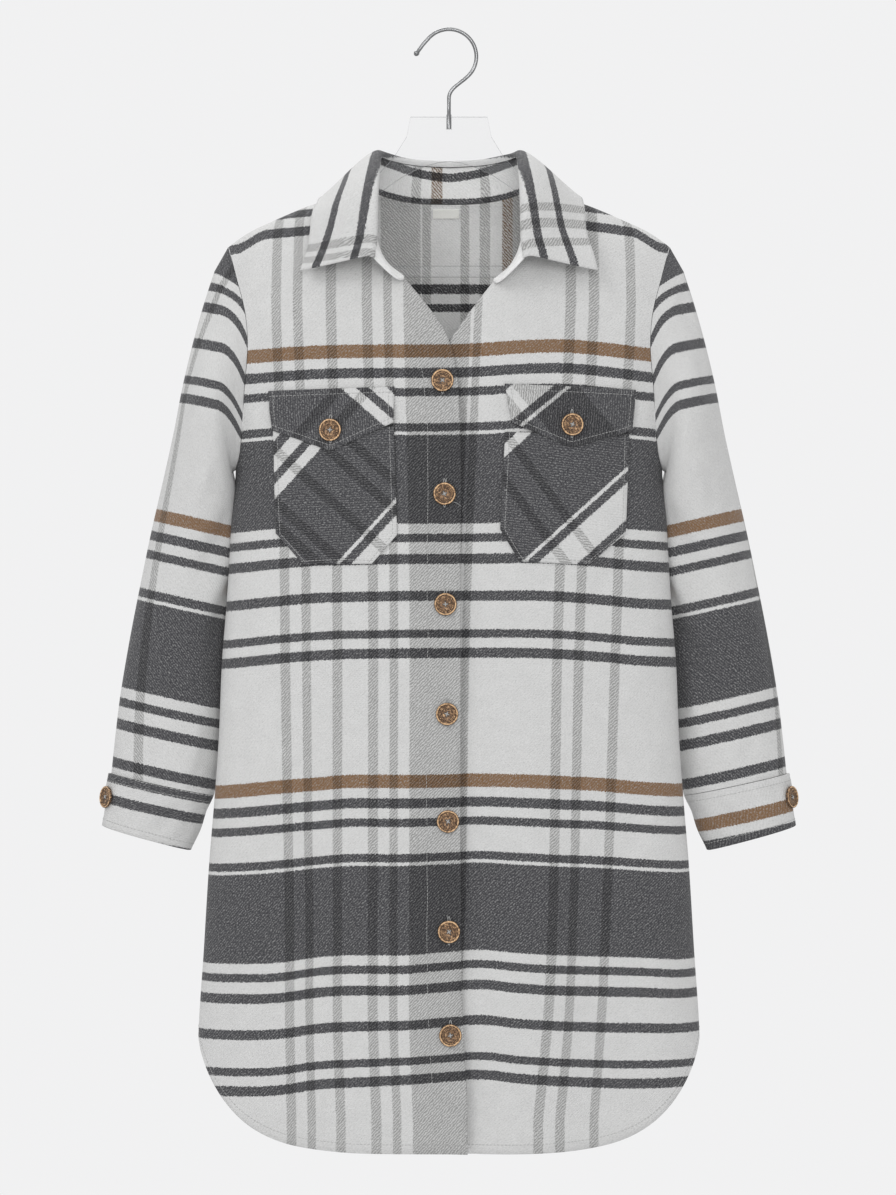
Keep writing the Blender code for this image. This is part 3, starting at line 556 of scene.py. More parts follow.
# Round a sleeve from its outer line: the front is at the minus side on the wearer's right sleeve
WARP_SLEEVE = {
    "right": (
        (-34.0, -23.0, "grey"),
        (48.0, 58.0, "grey"),
        (84.0, 94.0, "grey"),
    ),
    "left": (
        (-104.0, -94.0, "grey"),
        (-62.0, -52.0, "grey"),
        (-3.0, 5.0, "grey"),
    ),
}
WARP_CUFF = ((30.0, 38.0, "grey"), (110.0, 120.0, "grey"))
WARP_STAND = (
    (-98.0, -88.0, "grey"),
    (-40.0, -29.6, "grey"),
    (-19.0, -7.4, "brown"),
    (33.0, 43.0, "grey"),
    (96.0, 106.0, "grey"),
)
# Weft stripes across the height of the collar stand, and out over the leaf
WEFT_STAND = (
    (-3.0, 5.5, "charcoal"),
    (23.0, 32.0, "charcoal"),
)
WEFT_LEAF = (
    (-2.0, 7.5, "charcoal"),
    (29.0, 38.5, "charcoal"),
)
# Distance from the collar's front end, for the wearer's right end and, below 0, for the left
WARP_LEAF = (
    (-52.0, -43.0, "grey"),
    (-35.0, -26.0, "grey"),
    (-15.0, -6.0, "grey"),
    (198.0, 206.0, "grey"),
    (211.5, 220.5, "grey"),
)
# Where the stand's stripes climb towards its front, and where they close up on its tabs
STAND_CLIMB = 7.0
STAND_CLIMB_REACH = 75.0
STAND_CLIMB_LEVEL = 9.0
STAND_TAB_START = 118.0
STAND_TAB_EASE = 30.0
STAND_TAB_SQUEEZE = 0.55
STAND_TAB_SHIFT = 7.5
LEAF_WARP_SLANT = 0.28
LEAF_RIGHT_SLANT = 0.1
LEAF_RIGHT_START = 200.0
LEAF_STRIPE_SHIFT = 9.0
LEAF_SECOND_START = 8.0
LEAF_SECOND_EASE = 20.0
# Share from the centre back, how far down the leaf its first stripe starts, further drop of the second
LEAF_STRIPE_ROWS = (
    (0.0, 8.0, 0.0),
    (0.3, 5.0, 0.0),
    (0.45, 2.0, 0.0),
    (0.6, 6.0, 0.0),
    (0.75, 12.0, 1.0),
    (1.0, 18.0, 3.0),
)
# Bias cuts: x and height of the chart's corner, turn of the weft, place in the plaid at the corner, way it
# counts, slant of the warp
BIAS = {
    "pocket_right": (-191.7, -371.2, 47.5, 272.7, -1, 0.0),
    "pocket_left": (47.15, -366.1, 42.0, 249.5, -1, 0.1),
    "flap_right": (-191.7, -371.2, -41.0, 133.3, -1, 0.0),
    "flap_left": (47.15, -366.1, 39.5, 38.4, 1, 0.0),
}
WARP_BIAS = {
    "pocket_right": (
        (-100.5, -90.5, "grey"),
        (-84.0, -74.0, "grey"),
        (-44.5, -34.5, "grey"),
        (-8.0, 2.0, "grey"),
        (13.5, 23.5, "grey"),
    ),
    "pocket_left": ((-93.9, -83.9, "grey"), (-57.9, -47.9, "grey"), (-29.0, -19.5, "grey")),
    "flap_right": ((57.0, 67.0, "grey"), (80.0, 90.0, "grey")),
    "flap_left": ((-11.3, 0.6, "grey"), (9.2, 62.0, "grey")),
}
# x, how much lower the weft lies there than at the centre, at each of DROP_HEIGHTS
DROP_HEIGHTS = (-335.7, -586.4, -776.6, -988.0, -1080.8)
DROP_ROWS = (
    (-240, 6.5, 11.0, 13.5, 12.5, 11.0),
    (-218, 5.1, 9.1, 11.3, 11.9, 10.3),
    (-177, 2.7, 4.9, 6.8, 10.5, 8.4),
    (-136, 0.7, 1.6, 3.4, 4.4, 2.2),
    (-95, 0.1, 0.5, 0.1, 1.3, -1.2),
    (-54, 0.0, -0.4, 0.3, 1.5, -3.4),
    (-13, 0.0, -0.8, 0.0, -1.7, -6.4),
    (32, -1.5, -0.7, -1.0, -5.3, -9.6),
    (73, -4.3, -1.0, -0.2, -1.3, -5.5),
    (114, -5.7, 0.1, 1.7, 1.6, -2.2),
    (155, -3.1, 3.3, 3.9, 3.4, 0.6),
    (196, 1.2, 7.1, 8.2, 4.7, 1.8),
    (237, 5.1, 8.6, 11.3, 7.8, 1.5),
)
BROWN_HEIGHT = -329.6
BACK_WEFT_PLACE = 321.4
BACK_WEFT_HEIGHT = -259.2
BACK_SAG = 9.0
BACK_SAG_REACH = 230.0
# Where the stripes of the fronts rise near the shoulders: how much, from which x, over what width
TOP_RISES = ((4.0, 100.0, 37.0), (13.0, 188.0, 34.0))
TOP_RISE_START = 90.0
TOP_RISE_EASE = 70.0
LEAN_SIDE_START = 110.0
LEAN_SIDE_EASE = 60.0
# Height, lean of the warp of the right front, of the left front, further lean near the side
LEAN_ROWS = (
    (-1124.6, 3.5, -21.0, 4.0),
    (-1011.8, -0.5, -10.0, 6.0),
    (-607, 0.0, 0.0, 0.0),
    (-284, -6.5, 12.5, -3.0),
)
# Distance down the sleeve from its brown stripe, place in the plaid there
SLEEVE_WEFT_ROWS = (
    (-290, -294),
    (-125, -131.5),
    (0, 0),
    (42, 43),
    (84, 80.5),
    (186, 180.5),
    (268, 258),
    (330, 318),
)
SLEEVE_BROWN = (307.0, -502.0)
SLEEVE_LEAN = math.radians(12.6)
SLEEVE_WEFT_SHIFT = 6.0
SLEEVE_DRIFT = 0.03
SLEEVE_DRIFT_START = 200.0
# The stripes bend down beside the armhole, full between two heights and less above them
SLEEVE_STRIPE_BREAK = 28.0
SLEEVE_BREAK_WIDTH = 27.0
SLEEVE_BREAK_POWER = 1.9
SLEEVE_BREAK_LOW = -475.0
SLEEVE_BREAK_HIGH = -270.0
SLEEVE_BREAK_EASE = 60.0
SLEEVE_BREAK_LEAST = 0.35
# The plaid starts anew where it jumps by more than this across one face, at the underarm seam
PLAID_JUMP = 100.0

# Sewing: distance of each row of stitches from its edge
TOPSTITCH_INSET = 5.0
POCKET_INSET = 4.0
CUFF_INSET = 7.0
HEM_INSET = 9.0
PLACKET_INSET = 35.0
PLACKET_STITCH_TOP = -345.0
THREAD_SIDES = 5
STITCH_SPACING = 1.32
# Share of a stitch, height of the thread there and its width, as shares of its radius
STITCH_SHAPE = ((0.0, -0.6, 0.75), (0.16, 0.35, 1.0), (0.5, 0.75, 1.05), (0.84, 0.35, 1.0), (1.0, -0.6, 0.75))

# Stage, in metres: half width and height of the floor, the lights, the point they face, the camera
FLOOR_HALF = 5.0
FLOOR_HEIGHT = -2.2
LIGHTS = (
    ("key_light", (-1.9, -2.2, 1.4), 1.3, 30.0),
    ("front_light", (0.4, -3.6, 0.4), 1.1, 38.0),
    ("top_light", (0.2, 0.2, 1.8), 1.2, 10.0),
    ("back_light", (-0.9, 2.4, 2.6), 1.6, 40.0),
)
LIGHT_AIM = (0.0, 0.0, -0.6)
CAMERA_X = -0.001
CAMERA_HEIGHT = -0.589
SENSOR_WIDTH = 36.0
SEEN_HEIGHT = 1.2428

Cloth = collections.namedtuple("Cloth", "outer inner uv closed")


class ShacketSizes(bpy.types.PropertyGroup):
    """Sizes that a user may change."""

    cloth: bpy.props.FloatProperty(
        name="Cloth thickness",
        description="Thickness of the flannel",
        default=0.002,
        min=0.001,
        max=0.003,
        unit="LENGTH",
    )
    crease: bpy.props.FloatProperty(
        name="Crease depth",
        description="How deep the creases are, as a share of those shown",
        default=1.7,
        min=0.0,
        max=3.0,
        subtype="FACTOR",
    )
    button_radius: bpy.props.FloatProperty(
        name="Button radius",
        description="Radius of each button",
        default=0.0116,
        unit="LENGTH",
    )
    stitch: bpy.props.FloatProperty(
        name="Stitch length",
        description="Length of one stitch of the topstitching",
        default=0.0029,
        unit="LENGTH",
    )
    thread: bpy.props.FloatProperty(
        name="Thread radius",
        description="Radius of the sewing thread",
        default=0.00024,
        unit="LENGTH",
    )
    twill: bpy.props.FloatProperty(
        name="Twill pitch",
        description="Distance from one twill line to the next",
        default=0.0034,
        unit="LENGTH",
    )
    camera_distance: bpy.props.FloatProperty(
        name="Camera distance",
        description="Distance of the camera in front of the garment",
        default=4.0,
        unit="LENGTH",
    )


def colour_property(name, description, default):
    return bpy.props.FloatVectorProperty(
        name=name, description=description, default=default, subtype="COLOR", size=3, min=0.0, max=1.0
    )


class ShacketColours(bpy.types.PropertyGroup):
    """Colours of the cloth, the buttons and the studio."""

    white: colour_property("White", "Ground of the plaid", (0.495, 0.495, 0.49))
    grey: colour_property("Grey", "What a grey warp stripe leaves of the colour under it", (0.46, 0.46, 0.455))
    tan: colour_property("Tan", "What a brown warp stripe leaves of the colour under it", (0.24, 0.155, 0.09))
    charcoal: colour_property("Charcoal", "Dark weft stripes", (0.036, 0.036, 0.040))
    brown: colour_property("Brown", "Brown weft stripe", (0.155, 0.086, 0.041))
    thread: colour_property("Thread", "Sewing thread", (0.33, 0.33, 0.325))
    button: colour_property("Button", "Face of the buttons", (0.17, 0.092, 0.044))
    # The pale rim is worn, and is also a painted highlight
    rim: colour_property("Button rim", "Worn rim of the buttons", (0.58, 0.38, 0.21))
    label: colour_property("Label", "Neck label", (0.86, 0.86, 0.82))
    studio: colour_property("Studio", "Floor and light round the garment", (0.88, 0.88, 0.885))


def sizes():
    return bpy.context.scene.shacket_sizes


def colours():
    return bpy.context.scene.shacket_colours


def smooth(share):
    """0 to 1 with soft ends."""
    share = np.clip(share, 0.0, 1.0)
    return share * share * (3.0 - 2.0 * share)


def unit(vectors):
    length = np.linalg.norm(vectors, axis=-1, keepdims=True)
    return vectors / np.maximum(length, 1e-12)


def length_along(points, axis=0):
    """Length along a line of points, or along each line of a grid, from 0 at its first point."""
    reach = np.cumsum(np.linalg.norm(np.diff(points, axis=axis), axis=-1), axis=axis)
    return np.concatenate([np.zeros_like(np.take(reach, [0], axis=axis)), reach], axis=axis)


class Track:
    """A smooth line through a table's rows: its first column is the place and the others are the values."""

    def __init__(self, rows):
        table = np.array(rows, float)
        table = table[np.argsort(table[:, 0])]
        self.place = table[:, 0]
        self.value = table[:, 1:]
        slope = np.diff(self.value, axis=0) / np.diff(self.place)[:, None]
        tangent = np.vstack([slope[:1], (slope[1:] + slope[:-1]) / 2, slope[-1:]])
        tangent[1:-1][slope[1:] * slope[:-1] <= 0] = 0
        self.tangent = tangent

    def __call__(self, at):
        at = np.clip(np.asarray(at, float), self.place[0], self.place[-1])
        row = np.clip(np.searchsorted(self.place, at, side="right") - 1, 0, len(self.place) - 2)
        span = self.place[row + 1] - self.place[row]
        t = ((at - self.place[row]) / span)[..., None]
        span = span[..., None]
        start = (1 + 2 * t) * (1 - t) ** 2 * self.value[row] + t * (1 - t) ** 2 * span * self.tangent[row]
        end = t * t * (3 - 2 * t) * self.value[row + 1] + t * t * (t - 1) * span * self.tangent[row + 1]
        return start + end


BODY = Track(BODY_ROWS)
SHOULDER = Track(SHOULDER_ROWS)
ARMHOLE = Track(ARMHOLE_TABLE)
NECKLINE = Track(NECKLINE_ROWS)
COLLAR = Track(COLLAR_ROWS)
FRONT_EDGE = {side: Track(rows) for side, rows in FRONT_EDGE_ROWS.items()}
SLEEVE = Track([(number, *row) for number, row in enumerate(SLEEVE_ROWS)])
DROP = Track(DROP_ROWS)
LEAN = Track(LEAN_ROWS)
SLEEVE_WEFT = Track(SLEEVE_WEFT_ROWS)
LEAF_STRIPE = Track(LEAF_STRIPE_ROWS)


def wall_thickness():
    return sizes().cloth / MM


def fold_height(x, height, face):
    """How far the soft folds lift the cloth at a place of the front or the back."""
    lift = np.zeros(np.broadcast(x, height).shape)
    for fold_face, top_x, top, bottom_x, bottom, half_width, depth in FOLDS:
        if fold_face != face:
            continue
        share = (top - height) / (top - bottom)
        centre = top_x + (bottom_x - top_x) * share
        lift = lift + depth * smooth(share * FOLD_GROWTH) * np.exp(-(((x - centre) / half_width) ** 2))
    return lift


def segment_weight(x, y, start, end, half_width):
    """Weight of a soft trough or ridge along a segment: 1 on its middle, 0 past its ends and sides."""
    way = np.subtract(end, start)
    length = math.hypot(*way)
    along = ((x - start[0]) * way[0] + (y - start[1]) * way[1]) / length**2
    aside = ((x - start[0]) * way[1] - (y - start[1]) * way[0]) / length
    ends = smooth(along * 3.0) * smooth((1 - along) * 2.2)
    return ends * np.exp(-((aside / half_width) ** 2))


def crease_height(x, height, face):
    lift = np.zeros(np.broadcast(x, height).shape)
    for crease_face, start_x, start, end_x, end, half_width, depth in CREASES:
        if crease_face == face:
            lift = lift + depth * segment_weight(x, height, (start_x, start), (end_x, end), half_width)
    return lift * sizes().crease


def across_of(x, height):
    """Share of the way from the centre line, 0, to the side, 1 or -1, at a distance from the centre."""
    half = BODY(height)[..., 0]
    return np.arcsin(np.clip(x / half, -1.0, 1.0)) * 2 / math.pi


def form(across, height, face):
    """Point of the garment's outer face: face is -1 for the fronts and 1 for the back."""
    across, height = np.broadcast_arrays(np.asarray(across, float), np.asarray(height, float))
    size = BODY(height)
    sine = np.sin(np.clip(across, -1.0, 1.0) * math.pi / 2)
    x = size[..., 0] * sine
    depth = size[..., 1] if face < 0 else size[..., 2]
    roll = FRONT_ROLL if face < 0 else BACK_ROLL
    lean = np.clip((SHOULDER(np.abs(x))[..., 0] - height) / roll, 0.0, 1.0)
    over = (1 - (1 - lean) ** ROLL_POWER) ** (1 / ROLL_POWER)
    edge = np.clip(1 - np.abs(sine) ** SECTION_POWER, 0.0, 1.0) ** (1 / SECTION_POWER)
    fold = (fold_height(x, height, face) + crease_height(x, height, face)) * smooth(edge * FOLD_SIDE_FADE)
    y = face * (SEAM / 2 + depth * edge * over + fold * smooth(over * 2))
    return np.stack([x, y, height], axis=-1)


def form_normal(across, height, face):
    """Direction out of the cloth, from a small step across and one down."""
    across = np.asarray(across, float)
    height = np.asarray(height, float)
    here = form(across, height, face)
    back = np.where(across >= 0, -STEP_ACROSS, STEP_ACROSS)
    along = (form(across + back, height, face) - here) * np.sign(back)[..., None]
    up = here - form(across, height - STEP_DOWN, face)
    return unit(np.cross(along, up)) * -face


def hem_height(across):
    """The shirt-tail hem: level over the middle and rounded up to each side seam."""
    reach = np.abs(np.sin(np.clip(across, -1, 1) * math.pi / 2))
    return HEM_SIDE - HEM_DROP * (1 - reach**HEM_POWER) ** (1 / HEM_BLEND)


def side_line(rows_below, rows_above, face):
    """Across and height up the side seam and then up the armhole to the shoulder tip."""
    seam = np.linspace(HEM_SIDE, UNDERARM, rows_below + 1)
    turn = np.linspace(math.pi, 0, rows_above + 1)[1:]
    tip = SHOULDER(SHOULDER_TIP)[0]
    arm = tip + (UNDERARM - tip) * (1 - np.cos(turn)) / 2
    reach = ARMHOLE(arm)[..., 0 if face < 0 else 1]
    across = np.concatenate([np.ones(len(seam)), across_of(reach, arm)])
    return np.stack([across, np.concatenate([seam, arm])], axis=-1)


def neck_front(side, rows):
    """Across and height of the front neckline, from its front end to the shoulder, closer near its top."""
    shape = NECKLINE(1 - np.linspace(1, 0, rows + 1) ** 2)
    start = FRONT_NECK_HEIGHT[side]
    height = start + (SHOULDER(NECK_HALF)[0] - start) * shape[..., 1]
    return np.stack([across_of(shape[..., 0], height), height], axis=-1)


def front_line(side):
    """Across and height up a front's edge and then round the neckline to the shoulder."""
    track = FRONT_EDGE[side]
    rows = SIDE_ROWS + ARMHOLE_ROWS - NECK_ROWS
    end = FRONT_NECK_HEIGHT[side]
    start = hem_height(0)
    height = start + (end - start) * np.linspace(0, 1, rows + 1) ** FRONT_ROW_POWER
    edge = np.stack([across_of(track(height)[..., 0], height), height], axis=-1)
    return np.concatenate([edge, neck_front(side, NECK_ROWS)[1:]])


def shoulder_line(columns):
    """Across and height from the neck to the shoulder tip."""
    x = np.linspace(NECK_HALF, SHOULDER_TIP, columns + 1)
    height = SHOULDER(x)[..., 0]
    return np.stack([across_of(x, height), height], axis=-1)


def neck_back(columns):
    """Across and height of the back neckline, from one shoulder to the other."""
    turn = np.linspace(-1, 1, columns + 1)
    x = NECK_HALF * np.sin(turn * math.pi / 2)
    rise = SHOULDER(NECK_HALF)[0] - BACK_NECK_HEIGHT
    height = BACK_NECK_HEIGHT + rise * np.abs(x / NECK_HALF) ** BACK_NECK_POWER
    return np.stack([across_of(x, height), height], axis=-1)


def patch(bottom, top, left, right):
    """Grid of a four-sided piece, blended from its four borders."""
    u = np.linspace(0, 1, len(bottom))[None, :, None]
    v = np.linspace(0, 1, len(left))[:, None, None]
    grid = (1 - v) * bottom[None] + v * top[None] + (1 - u) * left[:, None] + u * right[:, None]
    corners = (1 - u) * ((1 - v) * bottom[0] + v * top[0]) + u * ((1 - v) * bottom[-1] + v * top[-1])
    return grid - corners


def grid_normals(points, closed):
    """Directions across a grid of points, by the right-hand rule on its rows and columns."""
    if closed:
        along = np.roll(points, -1, axis=1) - np.roll(points, 1, axis=1)
    else:
        along = np.gradient(points, axis=1)
    return unit(np.cross(along, np.gradient(points, axis=0)))


def panel_faces(grid, face, lift=0.0):
    """Outer and inner points of a stretch of body cloth, kept on its own side of the seams."""
    across = grid[..., 0]
    height = grid[..., 1]
    out = form_normal(across, height, face)
    outer = form(across, height, face) + out * np.asarray(lift)[..., None]
    inner = outer - out * wall_thickness()
    for points in (outer, inner):
        points[..., 1] = face * np.maximum(face * points[..., 1], SEAM / 2)
    return outer, inner


def mirror(points):
    return points * np.array([-1.0, 1.0, 1.0])


def reach_round(across, height, face):
    """Length round the body from the centre line to each place, at its own height."""
    steps = np.linspace(0, 1, 25)[:, None, None]
    line = form(across[None] * steps, np.broadcast_to(height, (25, *height.shape)), face)
    return np.linalg.norm(np.diff(line[..., :2], axis=0), axis=-1).sum(axis=0) * np.sign(across)


def reach_of(x):
    """Length round the front from the centre line to a distance x, at the reference height."""
    across = across_of(np.array([[float(x)]]), np.array([[WARP_REFERENCE]]))
    return float(reach_round(across, np.array([[WARP_REFERENCE]]), -1)[0, 0])


def weft_drop(x, height):
    """How much lower the weft lies at a place than at the centre of the fronts."""
    values = DROP(x)
    place = np.interp(-height, -np.array(DROP_HEIGHTS), np.arange(len(DROP_HEIGHTS)))
    row = np.minimum(place.astype(int), len(DROP_HEIGHTS) - 2)
    low = np.take_along_axis(values, row[..., None], axis=-1)[..., 0]
    high = np.take_along_axis(values, row[..., None] + 1, axis=-1)[..., 0]
    return low + (high - low) * (place - row)


def front_uv(across, height, side):
    """Place in the plaid of points of a front: across the warp, and down the weft."""
    x = form(across, height, -1)[..., 0]
    lean = LEAN(height)
    out = np.abs(x)
    near_side = smooth((out - LEAN_SIDE_START) / LEAN_SIDE_EASE)
    warp = reach_round(across, height, -1) - lean[..., 0 if side < 0 else 1] + side * lean[..., 2] * near_side
    weft = BROWN_HEIGHT - height - weft_drop(x, height)
    near_top = smooth((height - SHOULDER(out)[..., 0] + TOP_RISE_START) / TOP_RISE_EASE)
    rise = sum(most * smooth((out - start) / ease) for most, start, ease in TOP_RISES)
    return np.stack([warp, weft - rise * near_top], axis=-1)


def back_uv(across, height):
    """The back is cut the other way up, as its stripes inside the neck show."""
    warp = reach_round(across, height, 1)
    x = form(across, height, 1)[..., 0]
    sag = BACK_SAG * (np.abs(x) / BACK_SAG_REACH) ** 2
    return np.stack([warp, BACK_WEFT_PLACE + height - BACK_WEFT_HEIGHT + sag], axis=-1)


@functools.lru_cache(maxsize=None)
def front_cloth(side):
    """One front; the left one dips under the right at the lap."""
    left = front_line(side)
    right = side_line(SIDE_ROWS, ARMHOLE_ROWS, -1)
    across = np.linspace(left[0, 0], 1, SHOULDER_COLUMNS + 1)
    bottom = np.stack([across, hem_height(across)], axis=-1)
    grid = patch(bottom, shoulder_line(SHOULDER_COLUMNS), left, right) * np.array([side, 1.0])
    height = grid[..., 1]
    x = form(grid[..., 0], height, -1)[..., 0]
    below_top = smooth((LAP_TOP - height) / LAP_EASE)
    if side < 0:
        roll = sum((depth * np.sin(height / length + start) for depth, length, start in EDGE_WAVES), 1)
        lift = EDGE_LIFT * roll * smooth((x - EDGE_LIFT_START) / EDGE_LIFT_EASE) * below_top
    else:
        lift = -(wall_thickness() + UNDERLAP_GAP) * (1 - smooth((x - UNDERLAP_START) / UNDERLAP_EASE))
        beside = x + FRONT_EDGE[-1](height)[..., 0] - LAP_TROUGH_PLACE
        lift = lift - LAP_TROUGH * below_top * np.exp(-((beside / LAP_TROUGH_WIDTH) ** 2))
    outer, inner = panel_faces(grid, -1, lift)
    return Cloth(outer, inner, front_uv(grid[..., 0], height, side), False)


@functools.lru_cache(maxsize=None)
def back_cloth():
    right = side_line(SIDE_ROWS, ARMHOLE_ROWS, 1)
    left = right * np.array([-1.0, 1.0])
    shoulder = shoulder_line(SHOULDER_COLUMNS)
    other = shoulder[::-1] * np.array([-1.0, 1.0])
    top = np.concatenate([other[:-1], neck_back(NECK_COLUMNS), shoulder[1:]])
    across = np.linspace(-1, 1, len(top))
    bottom = np.stack([across, hem_height(across)], axis=-1)
    grid = patch(bottom, top, left, right)
    outer, inner = panel_faces(grid, 1)
    return Cloth(outer, inner, back_uv(grid[..., 0], grid[..., 1]), False)


def armhole_ring(side):
    """The armhole's edge as a ring: from the tip down the front, then up the back."""
    column = -1 if side > 0 else 0
    front_edge = front_cloth(side).outer[SIDE_ROWS:, -1][::-1]
    back_edge = back_cloth().outer[SIDE_ROWS:, column]
    ring = np.concatenate([front_edge[:-1], back_edge[:-1]])
    ring[0, 1] = 0.0
    ring[ARMHOLE_ROWS, 1] = 0.0
    return ring


def section_ring(row, turn, out=0.0):
    """An oval ring between an outer and an inner point, wider by out all round."""
    outer_height, outer_x, inner_height, inner_x, centre_y, half_depth = row
    outer = np.array([outer_x, 0.0, outer_height])
    inner = np.array([inner_x, 0.0, inner_height])
    out = np.broadcast_to(out, turn.shape)[:, None]
    half = (outer - inner) / 2
    half = half * (1 + out / np.linalg.norm(half))
    centre = (outer + inner) / 2 + np.array([0.0, centre_y, 0.0])
    depth = np.array([0.0, -1.0, 0.0]) * (half_depth + out)
    return centre + np.cos(turn)[:, None] * half + np.sin(turn)[:, None] * depth


@functools.lru_cache(maxsize=None)
def sleeve_cloth(side):
    """A sleeve: rings from the armhole down to the cuff."""
    base = armhole_ring(side)
    if side < 0:
        base = mirror(base)
    base = base + np.array([JOIN, 0, 0])
    share = np.arange(len(base)) / len(base)
    turn = share * 2 * math.pi
    top = base[0]
    low = base[ARMHOLE_ROWS]
    chord = (top + low) / 2 + np.cos(turn)[:, None] * (top - low) / 2
    bulge = base - chord
    place = np.exp(-(((share - SLEEVE_FOLD_PLACE) / SLEEVE_FOLD_WIDTH) ** 2))
    count = (len(SLEEVE_ROWS) - 1) * SLEEVE_FINE + 1
    numbers = np.linspace(0, len(SLEEVE_ROWS) - 1, count)
    rings = []
    for number in numbers:
        ring = section_ring(SLEEVE(number), turn)
        spine = ring * np.array([1.0, 0.0, 1.0])
        fade = 1 - smooth((number + 1) / SLEEVE_FADE)
        ring = ring + fade * (spine + bulge - ring) * SLEEVE_BULGE
        grown = smooth((number + 1) / SLEEVE_FOLD_GROWTH) * (1 - smooth((number - 1) / SLEEVE_FOLD_FADE))
        ring = ring + (SLEEVE_FOLD_DEPTH * grown * place)[:, None] * SLEEVE_FOLD_WAY
        rings.append(ring)
    lead = [base + (rings[0] - base) * step for step in np.arange(SLEEVE_FINE) / SLEEVE_FINE]
    outer = np.stack(lead + rings)
    ring_number = np.concatenate([np.arange(SLEEVE_FINE) / SLEEVE_FINE - 1, numbers])[:, None]
    way_down = ring_number / SLEEVE_TURN_RINGS
    out = grid_normals(outer, closed=True)
    lift = np.zeros(outer.shape[:2])
    for crease_side, start, start_turn, end, end_turn, half_width, depth in SLEEVE_CREASES:
        if crease_side == side:
            first = (start / SLEEVE_TURN_RINGS, start_turn)
            last = (end / SLEEVE_TURN_RINGS, end_turn)
            lift = lift + depth * segment_weight(way_down, share[None], first, last, half_width)
    outer = outer + out * (lift * sizes().crease)[..., None]
    out = grid_normals(outer, closed=True)
    round_edge = np.roll(base, -1, axis=0) - np.roll(base, 1, axis=0)
    out[0] = unit(np.cross(round_edge, (1.0, 0.0, 0.0)))
    inner = outer - out * wall_thickness()
    uv = sleeve_uv(outer)
    if side < 0:
        return Cloth(mirror(outer), mirror(inner), uv * np.array([-1.0, 1.0]), True)
    return Cloth(outer, inner, uv, True)


def down_sleeve(points):
    """Distance of points down a sleeve's length from its brown stripe."""
    right = points[..., 0] - SLEEVE_BROWN[0]
    up = points[..., 2] - SLEEVE_BROWN[1]
    return right * math.sin(SLEEVE_LEAN) - up * math.cos(SLEEVE_LEAN)


def sleeve_uv(outer):
    """Place in the plaid: round the sleeve from its outer line, and down it."""
    wrapped = np.concatenate([outer, outer[:, :1]], axis=1)
    round_it = length_along(wrapped, axis=1)
    round_it = np.where(round_it > round_it[:, -1:] / 2, round_it - round_it[:, -1:], round_it)
    down = down_sleeve(wrapped)
    weft = SLEEVE_WEFT(down)[..., 0]
    height = wrapped[..., 2]
    share = np.linspace(0, 1, wrapped.shape[1])[None]
    face = np.where(share < 0.5, 0, 1)
    seam = np.take_along_axis(ARMHOLE(height), face[..., None] * np.ones(height.shape + (1,), int), axis=-1)[..., 0]
    past = np.clip((wrapped[..., 0] - seam) / SLEEVE_BREAK_WIDTH, 0, 1)
    full = smooth((SLEEVE_BREAK_HIGH - height) / SLEEVE_BREAK_EASE)
    share_left = SLEEVE_BREAK_LEAST + (1 - SLEEVE_BREAK_LEAST) * full
    above = smooth((height - SLEEVE_BREAK_LOW) / SLEEVE_BREAK_EASE) * share_left
    weft = weft - SLEEVE_STRIPE_BREAK * (1 - past) ** SLEEVE_BREAK_POWER * above
    drift = SLEEVE_DRIFT * np.maximum(down + SLEEVE_DRIFT_START, 0) * np.sign(round_it)
    return np.stack([round_it - drift, weft + SLEEVE_WEFT_SHIFT], axis=-1)


@functools.lru_cache(maxsize=None)
def cuff_cloth(side):
    """A band round the wrist whose outer end laps over its inner end at the button."""
    thick = wall_thickness() + CUFF_EXTRA
    turn = np.linspace(CUFF_LAP_START, CUFF_LAP_END - 2 * math.pi, CUFF_COLUMNS + 1)
    gone = CUFF_LAP_START - turn
    ease = smooth((gone - (2 * math.pi - CUFF_LAP_EASE)) / CUFF_LAP_EASE)
    lap = (thick + JOIN) * ease
    rings = []
    for share in np.linspace(0, 1, CUFF_ROWS + 1):
        row = np.array(CUFF_TOP) + share * (np.array(CUFF_BOTTOM) - np.array(CUFF_TOP))
        rings.append(section_ring(row, turn, lap))
    outer = np.stack(rings)
    out = -grid_normals(outer, closed=False)
    share = np.linspace(0, 1, CUFF_ROWS + 1)[:, None]
    ripple = CUFF_RIPPLE * np.sin(turn * 5 + 1.3) * np.sin(share * 7 + turn * 2)
    ripple = ripple + CUFF_FINE_RIPPLE * np.sin(turn * 11 + share * 5)
    outer = outer + out * (ripple * sizes().crease * np.sin(share * math.pi))[..., None]
    inner = outer - out * thick
    warp = length_along(outer, axis=1) - CUFF_WARP_START
    uv = np.stack([warp, down_sleeve(outer) - CUFF_WEFT_START + CUFF_WEFT_PLACE[side]], axis=-1)
    if side < 0:
        return Cloth(mirror(outer), mirror(inner), uv * np.array([-1.0, 1.0]), False)
    return Cloth(outer, inner, uv, False)


def neck_ring(front, back):
    """Outer points round the neck, centre back to the left front's end."""
    middle = SHOULDER_COLUMNS + NECK_COLUMNS // 2
    end = SHOULDER_COLUMNS + NECK_COLUMNS + 1
    back_part = back[-1, middle:end]
    front_part = front[-NECK_ROWS - 1 :, 0][::-1]
    join = (back_part[-1] + front_part[0]) / 2
    points = np.concatenate([back_part[:-1], join[None], front_part[1:]])
    reach = length_along(points)
    return Track(np.column_stack([reach / reach[-1], points]))


